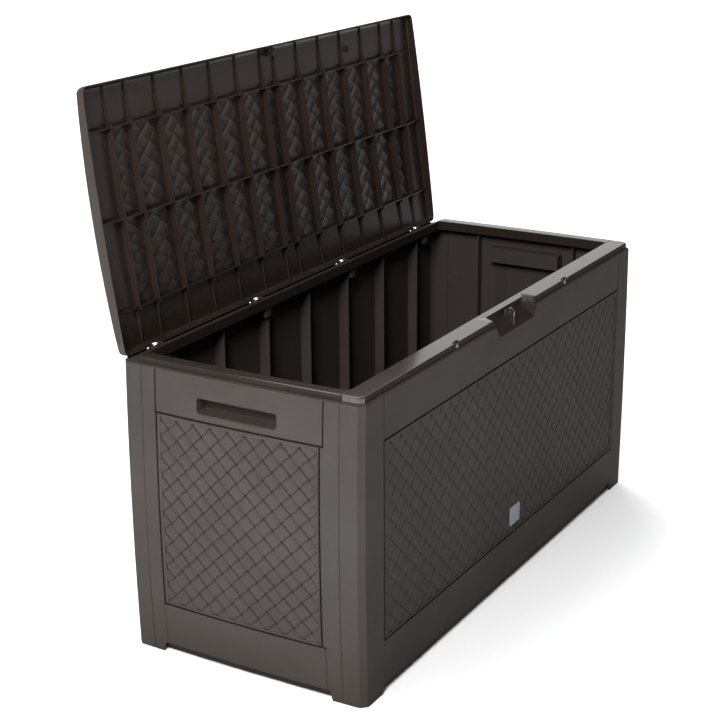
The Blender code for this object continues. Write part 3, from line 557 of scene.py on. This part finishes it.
def build_back():
    section, ends = (rim_section(band, mouth, [(mouth - lip, UNDER_LEDGE)], lip) for band, mouth, lip in (
        (HALF_W - RIM_BACK, HALF_W - MOUTH_BACK, 0.0035), (HALF_L - RIM_X, HALF_L - MOUTH_X, LIP)))
    wall = long_wall("back_wall_shell", 1, section, ends, POST_LEGS + [0.0094])
    for x in HINGE_X:
        slot = slab("slot", x, 0.0212, (HINGE[1] - 0.0105, 0.535), (HALF_W - SKIN + 0.0003, 0.60))
        boolean(wall, bevelled(slot, 0.0008), "DIFFERENCE")
        low, high = (0.2355, SHOULDER - 0.001), (HALF_W - 0.0008, 0.5484)
        pads = [bevelled(slab("pad", x + s * 0.036, 0.009, low, high), 0.0008) for s in (-1, 1)]
        wall = join("back_wall_shell", [wall, hinge_post(x)] + pads)
    stops = [-0.5545] + [x + s * 0.0225 for x in HINGE_X for s in (-1, 1)] + [0.5545]
    ridges = [bevelled(block("ridge", (x0, 0.2372, SHOULDER - 0.001), (x1, HALF_W - 0.0006, 0.5481)), 0.0007)
              for x0, x1 in zip(stops[::2], stops[1::2])]
    return join("back_wall_shell", [wall] + ridges + wall_ribs(1, 0.5415))


def grip_cutter(side):
    """The hand grip: a rounded pocket whose mouth is softened and follows the crown of the wall."""
    def outline(grow, radius, depth):
        half_a, half_b, points = GRIP_HALF[0] + grow, GRIP_HALF[1] + grow, []
        for quarter, (sa, sb) in enumerate(((1, 1), (-1, 1), (-1, -1), (1, -1))):
            for step in range(7):
                angle = math.pi / 2 * (quarter + step / 6)
                a = sa * (half_a - radius) + radius * math.cos(angle)
                b = sb * (half_b - radius) + radius * math.sin(angle)
                points.append((side * (HALF_L - depth), a, GRIP_Z + b))
        return crowned(points)

    steps = [(0.0014, 0.0074, -0.006), (0.0014, 0.0074, -0.0001), (0.0008, 0.0068, 0.0002),
             (0.0003, 0.0063, 0.0007), (0.0, 0.006, 0.0016), (0.0, 0.006, 0.0235),
             (-0.0004, 0.0056, 0.0250), (-0.0016, 0.0044, 0.0260)]
    return loops_object("grip", [outline(*step) for step in steps])


def floor_bead(side):
    """A bead along an end wall that closes the slit between its crown and the straight floor panel."""
    x0, x1 = sorted((side * 0.5580, side * 0.5670))
    bead = block("bead", (x0, -0.190, 0.0342), (x1, 0.190, 0.0372))
    with editing(bead.data) as edit:
        long_edges = [e for e in edit.edges if abs(e.verts[0].co.y - e.verts[1].co.y) > 0.1]
        bmesh.ops.subdivide_edges(edit, edges=long_edges, cuts=15)
    return crown_object(bead)


def build_end(name, side):
    wall = end_wall(name, side)
    x0, x1 = sorted((side * (HALF_L - SKIN + 0.0008 + 0.004), side * (HALF_L - 0.0290 + 0.004)))
    cup = block("cup", (x0, -0.083, GRIP_Z - 0.0163), (x1, 0.083, GRIP_Z + 0.0163))
    boolean(wall, cup, "UNION")
    boolean(wall, grip_cutter(side), "DIFFERENCE")
    section = rib_section(side, HALF_L, 0.022, RIM_X - 0.002, 0.5535)
    ribs = [crown_object(prism("rib", section, y - HALF_RIB, y + HALF_RIB, "Y")) for y in (-0.115, 0.115)]
    return join(name, [wall, floor_bead(side)] + ribs)


def panel_weaves():
    """The four woven panels, each set in the recess of its wall."""
    base, thin = RECESS - 0.0002, (0.0019, 0.0006)
    wide, narrow = (-FRONT_WEAVE, FRONT_WEAVE), (-END_WEAVE, END_WEAVE)
    rise, phase = (WEAVE_LOW, WEAVE_HIGH), (0.0, STRAND_PHASE_Z)

    def on_long(side):
        return lambda a, b, h: crowned(np.stack([a, side * (HALF_W - base + h), b], 1))

    def on_end(side):
        return lambda a, b, h: crowned(np.stack([side * (HALF_L - base + h), side * a, b], 1))

    return [weave_patch("front_weave", wide, rise, phase, on_long(-1), *thin),
            weave_patch("back_weave", wide, rise, phase, on_long(1), *thin, False),
            weave_patch("left_weave", narrow, rise, phase, on_end(-1)),
            weave_patch("right_weave", narrow, rise, phase, on_end(1))]


# ------ lid, modelled shut and then turned open

def arch(y):
    """Level of the lid's outer surface."""
    return EDGE_Z + LID_RISE - LID_ARCH * ((y - LID_MIDDLE) / LID_REACH) ** 2


def lid_end(y):
    """Half length of the lid, whose ends swell a little."""
    return LID_HALF + LID_CROWN * (1 - ((y - LID_MIDDLE) / LID_REACH) ** 2)


def lid_outline():
    """Points and outward normals round the lid's plan."""
    r, quarter = LID_CORNER, [math.pi / 2 * step / 8 for step in range(9)]
    points = [(x, LID_FRONT) for x in np.linspace(0.02, 0.54, 14)]
    points += [(LID_HALF - r + r * math.sin(a), LID_FRONT + r - r * math.cos(a)) for a in quarter]
    points += [(lid_end(y), y) for y in np.linspace(LID_FRONT + r, LID_BACK - r, 18)[1:-1]]
    points += [(LID_HALF - r + r * math.cos(a), LID_BACK - r + r * math.sin(a)) for a in quarter]
    points += [(x, LID_BACK) for x in np.linspace(0.54, 0.02, 14)]
    right = np.array(points)
    outline = np.concatenate([right, right[::-1] * (-1, 1)])
    return outline, normals(outline)


def lid_shell():
    """Skirt, rounded upper edge and arched top, outside and inside, as one closed shell."""
    outline, normal = lid_outline()
    across, along = normal.T
    radius = EDGE_END * across ** 2 + np.where(along < 0, EDGE_FRONT, EDGE_BACK) * along ** 2

    def ring(inset, z):
        flat = outline - normal * np.asarray(inset).reshape(-1, 1)
        return np.column_stack([flat, np.broadcast_to(z, len(outline))])

    def shoulder(extra, angle):
        r = radius - extra
        final_y = (outline - normal * (extra + r)[:, None])[:, 1]
        return ring(extra + r * (1 - math.cos(angle)), arch(final_y) - extra - r * (1 - math.sin(angle)))

    def face(extra, lip):
        skirt = [ring(zero + extra + lip, EDGE_Z), ring(zero + extra, EDGE_Z + 0.0005)]
        return skirt + [shoulder(extra, angle) for angle in np.linspace(0, math.pi / 2, 7)]

    zero = np.zeros(len(outline))
    outside, inside = face(0.0, 0.0004), face(LID_SKIN, -0.0004)
    skirt = loops_object("lid_skirt", outside[::-1] + inside, caps=False)
    return join("lid_shell", [skirt, lid_cap(outside[-1], True), lid_cap(inside[-1], False)])


def lid_cap(border, upper):
    """The arched top or underside inside a border loop; the woven field of the top is sunk."""
    field, front, back = LID_WEAVE_X, RIB_Y[0] + 0.002, RIB_Y[2] - 0.002
    points, edges = [tuple(p) for p in border[:, :2]], []
    for inset in (0.0, 0.0008) if upper else ():  # the upper and lower edge of the field's step
        half, low, high, start = field - inset, front + inset, back - inset, len(points)
        across, along = np.linspace(low, high, 20), np.linspace(-half, half, 30)
        points += [(x, low) for x in along[:-1]] + [(half, y) for y in across[:-1]]
        points += [(x, high) for x in along[:0:-1]] + [(-half, y) for y in across[:0:-1]]
        count = len(points) - start
        edges += [(start + k, start + (k + 1) % count) for k in range(count)]
    clear = 0.002  # free space of the grid beside the step
    points += [(x, y) for x in np.linspace(-0.54, 0.54, 28) for y in np.linspace(-0.222, 0.208, 24)
               if abs(abs(x) - field) > clear and min(abs(y - front), abs(y - back)) > clear]
    outline = list(range(len(border)))
    flat, _, faces, *_ = delaunay_2d_cdt([Vector(p) for p in points], edges, [outline], 1, 1e-7)
    verts = []
    for x, y in flat:
        inside = min(field - abs(x), y - front, back - y)
        sunk = FIELD_SUNK if upper and inside > 0.0004 else 0.0
        verts.append((x, y, arch(y) - (0.0 if upper else LID_SKIN) - sunk))
    return mesh_object("lid_cap", verts, faces)


def skin_under(y):
    """Highest level a rib may reach at a distance across the lid without showing on top."""
    for r, edge, side in ((EDGE_FRONT, LID_FRONT + EDGE_FRONT, 1), (EDGE_BACK, LID_BACK - EDGE_BACK, -1)):
        past = side * (edge - y)
        if past > 0.0:
            return arch(edge) - r + math.sqrt(max((r - RIB_DROP) ** 2 - past ** 2, 0.0))
    return arch(y) - RIB_DROP


def cross_rib(x, front, back, foot):
    """A cross rib with draft: thinner at its free edge, which is rounded."""
    ys, edge = np.linspace(front, back, 14), 0.0006
    outline = [(front, foot), (back, foot)] + [(y, arch(y) - RIB_DROP) for y in ys[::-1]]
    loops = []
    for side, inset in ((-1, edge), (-1, 0.0), (1, 0.0), (1, edge)):
        loop = []
        for y, z in outline:
            z = min(z, skin_under(y))
            low = abs(z - foot) < 1e-6
            half = (0.0011 if low else 0.0017) - inset
            loop.append((x + side * half, y, z + (edge - inset if low else 0.0)))
        loops.append(loop)
    return loops_object("rib", loops)


def lid_ribs():
    """The grid of ribs under the lid, shallower where it passes over the rim."""
    ribs = []
    for x in mirrored(RIB_X):
        ribs += [cross_rib(x, -0.2375, RIB_Y[0] - 0.006, RIB_SHALLOW),
                 cross_rib(x, RIB_Y[0] - 0.0065, RIB_Y[2] + 0.0065, RIB_FOOT),
                 cross_rib(x, RIB_Y[2] + 0.006, 0.2230, RIB_SHALLOW)]
    ends, middle = RIB_SHALLOW + 0.0002, RIB_FOOT + 0.0008
    for y in RIB_Y:
        for x0, x1, foot in ((-0.5655, -0.531, ends), (-0.5315, 0.5315, middle), (0.531, 0.5655, ends)):
            rib = block("rib", (x0, y - 0.0013, foot), (x1, y + 0.0013, arch(y) - RIB_DROP))
            ribs.append(bevelled(rib, 0.0005))
    return ribs


def lid_cheek(x):
    """A cheek of the lid beside a hinge post, round about the pin."""
    arc = arc_points(*HINGE[1:], KNUCKLE, KNUCKLE, -0.62 * math.pi, 0.58 * math.pi)
    outline = arc + [(LID_BACK - 0.001, EDGE_Z + 0.008), (LID_BACK - 0.001, EDGE_Z + 0.0005)]
    return bevelled(prism("cheek", outline, x - 0.004, x + 0.004, "X"), 0.0006)


def lid_tab():
    """The lid's padlock tab, which hangs beside the eye when shut."""
    front, back, foot = -0.2370, -0.2190, EYE_Z - 0.0060
    outline = [(front, 0.5568), (front, EYE_Z - 0.0020), (-0.2345, foot), (EYE_Y + 0.0030, foot),
               (back, EYE_Z - 0.0010), (back, 0.5616), (-0.2300, 0.5606)]
    tab = prism("tab", rounded(outline, [0.001] + [0.0025] * 4 + [0.001] * 2), 0.0035, 0.0075, "X")
    return boolean(tab, eye_hole(0.0034, 0.0, 0.011, 24), "DIFFERENCE")


def ring_boss(x, y, r):
    """A short ring under the lid near its front edge."""
    outer = [(x + r * math.cos(a), y + r * math.sin(a)) for a in np.linspace(0, 2 * math.pi, 29)[:-1]]
    hole = [(x + 0.6 * (px - x), y + 0.6 * (py - y)) for px, py in outer]
    top, foot = arch(y) - RIB_DROP, RIM_TOP + 0.0018
    return loops_object("boss", [[(a, b, z) for a, b in ring] for ring, z in
                                 ((outer, top), (outer, foot), (hole, foot), (hole, top))], caps=False)


def build_lid():
    """The shut lid with its ribs and details, and its two woven fields."""
    shell = lid_shell()
    for x in HINGE_X:
        notch = slab("notch", x, 0.0086, (LID_BACK - 0.012, 0.50), (LID_BACK + 0.02, EDGE_Z + 0.0105))
        boolean(shell, notch, "DIFFERENCE")
    cheeks = [lid_cheek(x + s * 0.0126) for x in HINGE_X for s in (-1, 1)]
    lid = join("lid_shell", [shell] + lid_ribs() + [lid_tab(), ring_boss(0.300, -0.197, 0.0065)] + cheeks)
    area = (-LID_WEAVE_X, LID_WEAVE_X), (RIB_Y[0] + 0.0022, RIB_Y[2] - 0.0022), (0.0, 0.0)

    def lying(below):
        return lambda a, b, h: np.stack([a, b, arch(b) - below + h], 1)

    return [lid, weave_patch("lid_weave_top", *area, lying(0.0013), 0.0014, 0.0003),
            weave_patch("lid_weave_under", *area, lying(LID_SKIN + 0.0011), 0.0011, 0.0003, False)]


def turn_open(obj):
    """From the shut lid's place to the open one; the shut place is kept as an attribute for the weave."""
    places = np.empty(len(obj.data.vertices) * 3, np.float32)
    obj.data.vertices.foreach_get("co", places)
    obj.data.attributes.new("shut", "FLOAT_VECTOR", "POINT").data.foreach_set("vector", places)
    to_hinge = Matrix.Translation(Vector(HINGE))
    obj.data.transform(to_hinge @ Matrix.Rotation(-OPEN_ANGLE, 4, "X") @ to_hinge.inverted())
    obj.data.update()
    return obj


# ------ small fittings

def rim_catch(name):
    """A snap nose with a hooked top and soft edges."""
    low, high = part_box(name)
    front, back, foot, top = low[1], high[1], low[2], 0.5598
    outline = [(front + 0.0015, foot), (back, foot), (back, top), (back - 0.0025, top),
               (front + 0.0030, 0.5580), (front + 0.0009, 0.5545), (front + 0.0023, 0.5530)]
    outline = rounded(outline, [0.0004, 0.0004, 0.001, 0.001, 0.0015, 0.0012, 0.0008], 3)
    piece = prism(name + "_detail", outline, low[0], high[0], "X")
    slot = block("slot", (low[0] + 0.0045, front + 0.0045, 0.5500), (high[0] - 0.0045, back + 0.001, 0.5640))
    return bevelled(boolean(piece, slot, "DIFFERENCE"), 0.0005, angle=40)


def padlock_eye(name):
    """An upright tab with a round hole, on the slope of the scoop."""
    low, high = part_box(name)
    half = 0.0078
    outline = arc_points(EYE_Y, EYE_Z, half, 0.0065) + [(EYE_Y - half, 0.5283), (EYE_Y + half, 0.5403)]
    tab = prism(name + "_detail", outline, low[0], high[0], "X")
    boolean(tab, eye_hole(0.0032, -0.01, 0.01, 32), "DIFFERENCE")
    return bevelled(tab, 0.0006, angle=40)


def badge():
    """A blank plate with rounded corners."""
    (x0, y0, z0), (x1, y1, z1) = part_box("badge_plate")
    outline = rounded([(x0, z0), (x1, z0), (x1, z1), (x0, z1)], [0.002] * 4)
    return bevelled(prism("badge_detail", outline, y0, y1, "Y"), 0.0005, 3)


# ------ materials

def node(tree, kind, *links, **inputs):
    """A new node with some sockets set by name and others, given as (socket, output), linked."""
    made = tree.nodes.new(kind)
    for key, value in inputs.items():
        made.inputs[key.replace("_", " ")].default_value = value
    for socket, output in links:
        tree.links.new(output, made.inputs[socket])
    return made


def maths(tree, operation, first, second=0.0):
    """The result of a math node on numbers or other nodes' outputs."""
    made = tree.nodes.new("ShaderNodeMath")
    made.operation = operation
    for socket, value in zip(made.inputs, (first, second)):
        if isinstance(value, (int, float)):
            socket.default_value = value
        else:
            tree.links.new(value, socket)
    return made.outputs[0]


def resin(name, dark, light, rough, grain=0.05, shine=0.015, coat=0.0, strands=None):
    """Moulded resin: mottled colour, a fine moulded grain and, on weave, streaks along each strand and
    painted shade in the gaps between strands.
    """
    material = bpy.data.materials.new(name)
    material.use_nodes = True
    tree = material.node_tree
    where = tree.nodes.new("ShaderNodeTexCoord").outputs["Object"]
    cloud, fine, smudge = (node(tree, "ShaderNodeTexNoise", ("Vector", where), Scale=scale, Detail=detail)
                           for scale, detail in ((7.0, 4.0), (1400.0, 2.0), (16.0, 3.0)))
    cloud.inputs["Roughness"].default_value = 0.6
    ramp = node(tree, "ShaderNodeValToRGB", ("Fac", cloud.outputs["Fac"]))
    for element, position, colour in zip(ramp.color_ramp.elements, (0.30, 0.70), (dark, light)):
        element.position, element.color = position, (*colour, 1.0)
    height, colour = fine.outputs["Fac"], ramp.outputs["Color"]
    if strands:
        source = where
        if strands[1] == "Y":  # the lid, whose weave is laid out on its shut place
            shut = tree.nodes.new("ShaderNodeAttribute")
            shut.attribute_name = "shut"
            source = shut.outputs["Vector"]
        across, along = strand_places(tree, source, *strands)
        streaks = maths(tree, "SINE", maths(tree, "MULTIPLY", across, 2 * math.pi * 9))
        height = maths(tree, "ADD", height, maths(tree, "MULTIPLY", streaks, 0.8))
        # painted shade in the gaps between strands and where their ends dive under
        colour = painted_crevice_shade(tree, colour, across, along)
    bump = node(tree, "ShaderNodeBump", ("Height", height), Strength=grain, Distance=0.0006)
    spread = node(tree, "ShaderNodeMapRange", ("Value", smudge.outputs["Fac"]),
                  To_Min=rough - 0.04, To_Max=rough + 0.05)
    shader = tree.nodes["Principled BSDF"]
    for socket, output in (("Base Color", colour), ("Normal", bump.outputs["Normal"]),
                           ("Roughness", spread.outputs["Result"])):
        tree.links.new(output, shader.inputs[socket])
    for socket, value in (("Specular IOR Level", shine), ("Coat Weight", coat), ("Coat Roughness", 0.12)):
        shader.inputs[socket].default_value = value
    return material


def strand_places(tree, source, a_axis, b_axis, phase, sign):
    """Places across and along whichever strand lies on top, in strand widths from its middle."""
    parts, do = node(tree, "ShaderNodeSeparateXYZ", (0, source)).outputs, partial(maths, tree)
    a = do("DIVIDE", parts[a_axis], sign * STRAND_REPEAT[0])
    b = do("DIVIDE", do("SUBTRACT", parts[b_axis], phase), STRAND_REPEAT[1])
    u, v = do("ADD", a, b), do("SUBTRACT", a, b)
    odd = do("PINGPONG", do("ADD", do("ROUND", u), do("ROUND", v)), 1.0)
    places = []
    for first, second in ((v, u), (u, v)):
        place = node(tree, "ShaderNodeMix", (0, odd), (2, first), (3, second)).outputs[0]
        places.append(do("SUBTRACT", place, do("ROUND", place)))
    return places


def painted_crevice_shade(tree, colour, across, along):
    """Painted shade: the colour darkened in the narrow gaps beside a strand and where its ends dive under."""
    do, shades = partial(maths, tree), []
    pinch = [do("MULTIPLY", do("MULTIPLY", place, place), PINCH) for place in (across, along)]
    under = do("SUBTRACT", do("SUBTRACT", do("ABSOLUTE", along), pinch[0]), 1.0 - BULGE)
    beside = do("SUBTRACT", do("ADD", do("ABSOLUTE", across), pinch[1]), BULGE)
    for value, far in ((do("ABSOLUTE", under), 0.050), (beside, -0.055)):
        ramp = node(tree, "ShaderNodeMapRange", ("Value", value), From_Min=far, From_Max=0.0,
                    To_Min=1.0, To_Max=0.34)
        ramp.interpolation_type = "SMOOTHSTEP"
        shades.append(ramp.outputs["Result"])
    darker = node(tree, "ShaderNodeVectorMath", (0, colour))
    darker.operation = "SCALE"
    tree.links.new(do("MULTIPLY", *shades), darker.inputs["Scale"])
    return darker.outputs[0]


def plain(name, colour, rough, metallic=0.0):
    """A simple finish with a little cloudy variation in its colour and gloss."""
    material = resin(name, [0.85 * c for c in colour], colour, rough, 0.02)
    material.node_tree.nodes["Principled BSDF"].inputs["Metallic"].default_value = metallic
    return material


# ------ finish of each face

SATIN, LEDGE, RIM_AND_SCOOP_SHADE, GLOSSY, GROOVE_SHADE = range(5)  # material slots of a wall; the rim and groove slots hold painted shade


def in_groove(x, y, z):
    """Whether a face of a wall lies in one of its grooves or in the recess behind its weave."""
    if not 0.026 < z < SHOULDER - 0.004:
        return False
    beside, least, most = 0.0025, 0.0004, SKIN - 0.0004
    if abs(y) > HALF_W - SKIN - 0.001:
        return abs(x) < FRONT_GROOVE + beside and least < HALF_W - abs(y) < most
    depth = HALF_L - abs(x) + abs(crowned([(x, y, z)])[0, 0] - x)
    at_grip = abs(y) < 0.090 and 0.470 < z < 0.515
    return abs(y) < END_GROOVE + beside and least < depth < most and not at_grip


def finish_walls(obj, finishes):
    """Give the ledge, the corner wraps of the rim and the scoop's side walls their glossier finishes, and
    paint shade as darker colours onto the rim's other upright faces, the rest of the finger scoop and the
    grooves.
    """
    for material in finishes:
        obj.data.materials.append(material)
    for face in obj.data.polygons:
        (x, y, z), normal = face.center, face.normal
        if in_groove(x, y, z):
            # painted shade: the darkest colour in the grooves and the recess behind the weave
            face.material_index = GROOVE_SHADE
        elif abs(x) < 0.112 and -HALF_W + 0.0004 < y < -0.2125 and 0.505 < z < RIM_TOP - 0.0008:  # the scoop
            # painted shade: darker colour on the scoop's inside, the glossy finish on its side walls
            face.material_index = GLOSSY if normal.x * x < 0 and abs(normal.x) > 0.5 else RIM_AND_SCOOP_SHADE
        elif z > RIM_TOP - 0.0022 and normal.z > 0.85:
            face.material_index = LEDGE
        elif z > SHOULDER + 0.0006:
            wraps = y < -0.1989 and abs(normal.x) > 0.45 and abs(x) > MOUTH_X + 0.005
            # painted shade: darker colour on the rim's upright faces
            face.material_index = GLOSSY if wraps else RIM_AND_SCOOP_SHADE


def below_skin(x, y, z):
    """Rough depth of a point of the shut lid below its outer surface."""
    def rounded_depth(a, b, r):
        if min(a, b) >= r:
            return min(a, b)
        return r - math.hypot(max(r - a, 0.0), max(r - b, 0.0))

    from_end, from_side = lid_end(y) - abs(x), min(y - LID_FRONT, LID_BACK - y)
    radius = EDGE_END if from_end < from_side else EDGE_FRONT if y < LID_MIDDLE else EDGE_BACK
    return rounded_depth(rounded_depth(from_end, from_side, LID_CORNER), arch(y) - z, radius)


def finish_lid(obj, outside):
    """The lid's outer skin has the finish of the walls; the rest keeps the lid's darker colour, which is
    painted shade on its underside.
    """
    obj.data.materials.append(outside)
    for face in obj.data.polygons:
        (x, y, z), up = face.center, face.normal.z
        sunk = FIELD_SUNK if abs(x) < LID_WEAVE_X and RIB_Y[0] < y < RIB_Y[2] and up > 0.5 else 0.0
        if below_skin(x, y, z) < LID_SKIN / 2 + sunk * 0.4 and not (up < -0.9 and z > EDGE_Z + 0.002):
            face.material_index = 1


def paint(obj, material):
    """One material for the whole piece."""
    obj.data.materials.clear()
    obj.data.materials.append(material)
    return obj


# ------ room

def studio_floor():
    """A plain pale floor."""
    bpy.ops.mesh.primitive_circle_add(vertices=96, radius=30.0, fill_type="NGON")
    floor = bpy.context.object
    floor.name = "studio_floor"
    cover = bpy.data.materials.new("pale_floor")
    cover.use_nodes = True
    shader = cover.node_tree.nodes["Principled BSDF"]
    shader.inputs["Base Color"].default_value = (0.90, 0.90, 0.90, 1.0)
    shader.inputs["Roughness"].default_value = 0.8
    floor.data.materials.append(cover)


def lights():
    """A key from the left, soft light from above and behind, and cool light off the floor near the box."""
    bpy.context.scene.world = studio_world()
    bpy.context.scene.view_settings.view_transform = "Standard"
    area_light("key", (-3.45, -0.9, 3.1), (-0.4, 0.0, 0.35), 1.6, 270)
    area_light("far_floor", (6.0, 8.0, 6.5), (6.0, 8.0, 0.0), 9.0, 1100)
    area_light("top", (0.8, 1.9, 4.4), (0.0, 0.0, 0.3), 3.0, 130)
    for name, x, y, watts in (("floor_left", -1.32, -0.05, 25), ("floor_front", -0.45, -1.05, 11)):
        lamp = area_light(name, (x, y, 0.6), (x, y, 0.0), 0.80, watts)
        lamp.spread, lamp.color = math.radians(50), (0.62, 0.85, 1.0)


def studio_world():
    """White surroundings that are dimmer on the side the front faces."""
    world = bpy.data.worlds.new("studio")
    world.use_nodes = True
    tree = world.node_tree
    background = tree.nodes["Background"]
    where = tree.nodes.new("ShaderNodeTexCoord")
    parts = node(tree, "ShaderNodeSeparateXYZ", (0, where.outputs["Generated"]))
    reach = node(tree, "ShaderNodeMapRange", ("Value", parts.outputs["Y"]),
                 From_Min=-0.15, From_Max=0.42, To_Min=0.10, To_Max=1.45)
    tree.links.new(reach.outputs["Result"], background.inputs["Strength"])
    background.inputs["Color"].default_value = (0.985, 0.99, 1.0, 1.0)
    return world


def area_light(name, place, target, size, watts):
    """A round lamp that shines from its place towards the target."""
    lamp = bpy.data.lights.new(name, "AREA")
    lamp.shape, lamp.size, lamp.energy = "DISK", size, watts
    obj = placed(name, lamp)
    obj.location = place
    obj.rotation_euler = (Vector(target) - Vector(place)).to_track_quat("-Z", "Y").to_euler()
    return lamp


def camera():
    """Three-quarter view from the left front, a little above the lid's hinge."""
    data = bpy.data.cameras.new("camera")
    data.lens, data.sensor_width, data.clip_end = 81.7, 36.0, 100.0
    obj = placed("camera", data)
    azimuth, down, roll = math.radians(59.42), math.radians(18.65), math.radians(-0.47)
    level = math.cos(down)
    forward = Vector((math.sin(azimuth) * level, math.cos(azimuth) * level, -math.sin(down)))
    turn = forward.to_track_quat("-Z", "Y").to_matrix() @ Matrix.Rotation(roll, 3, "Z")
    obj.matrix_world = Matrix.Translation((-2.662, -1.473, 1.444)) @ turn.to_4x4()
    bpy.context.scene.camera = obj


# ------ assembly

def finishes():
    """Every material, by name."""
    dark, light = (0.0335, 0.0272, 0.0240), (0.0385, 0.0317, 0.0281)
    made = {name: resin("umber_" + name, *look) for name, *look in (
        ("satin", dark, light, 0.46),
        # painted shade: darker colour for the lid's underside, ribs and fittings, while its outer skin keeps
        # the satin colour
        ("lid", (0.0150, 0.0098, 0.0076), (0.0200, 0.0134, 0.0106), 0.25, 0.05, 0.26),
        ("floor", (0.020, 0.015, 0.013), (0.025, 0.019, 0.016), 0.36),
        ("gloss", (0.014, 0.0105, 0.009), (0.018, 0.0135, 0.0115), 0.10, 0.05, 0.5, 0.6),
        ("ledge", (0.022, 0.0168, 0.0145), (0.026, 0.0202, 0.0175), 0.13, 0.02, 0.30),
        # painted shade: darker colour for the rim's upright faces and the scoop's inside
        ("rim", (0.017, 0.0125, 0.0108), (0.021, 0.0155, 0.0135), 0.42),
        # painted shade: the darkest colour, for the grooves and the recess behind the weave
        ("groove", (0.011, 0.0098, 0.0090), (0.014, 0.0122, 0.0112), 0.60))}
    for name, *strands in (("long", "X", "Z", STRAND_PHASE_Z, 1), ("left", "Y", "Z", STRAND_PHASE_Z, -1),
                           ("right", "Y", "Z", STRAND_PHASE_Z, 1), ("lid", "X", "Y", 0.0, 1)):
        made["weave_" + name] = resin("umber_weave_" + name, dark, light, 0.46, 0.10, strands=strands)
    made["nylon"] = plain("black_nylon", (0.020, 0.019, 0.018), 0.35)
    made["steel"] = plain("zinc_steel", (0.60, 0.60, 0.61), 0.32, 1.0)
    made["badge"] = plain("badge_grey", (0.195, 0.215, 0.235), 0.38, 0.25)
    return made


def main():
    look = finishes()
    shells = {"front_wall": build_front(), "back_wall": build_back(),
              "end_wall_left": build_end("end_wall_left_shell", -1),
              "end_wall_right": build_end("end_wall_right_shell", 1)}
    for name, shell in shells.items():
        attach(paint(shell, look["satin"]), "box")
        # the rim and groove finishes are painted shade as darker colours
        finish_walls(shell, [look[finish] for finish in ("ledge", "rim", "gloss", "groove")])
        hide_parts(name)
    for obj, finish in zip(panel_weaves(), ("weave_long", "weave_long", "weave_left", "weave_right")):
        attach(paint(obj, look[finish]), "box")
    lid, *weaves = build_lid()
    # the lid's darker colour is painted shade on its underside
    finish_lid(paint(lid, look["lid"]), look["satin"])
    # the woven field under the lid takes the lid's painted-shade colour
    for obj, finish in zip(weaves, ("weave_lid", "lid")):
        paint(obj, look[finish])
    for obj in (lid, *weaves):
        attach(turn_open(obj), "lid")
    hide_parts("lid")
    for name, build in (("rim_catch_left", rim_catch), ("rim_catch_right", rim_catch),
                        ("padlock_eye", padlock_eye)):
        piece = build(name)
        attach(paint(piece, look["gloss"]), "box")
        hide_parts(name)
    plate = badge()
    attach(paint(plate, look["badge"]), "box")
    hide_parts("badge_plate")
    for name, obj in frame["nodes"].items():
        for part, finish in (("screw", "steel"), ("pin", "nylon"), ("floor_panel", "floor")):
            if part in name:
                for slot in obj.material_slots:
                    slot.material = look[finish]
    studio_floor()
    lights()
    camera()


main()
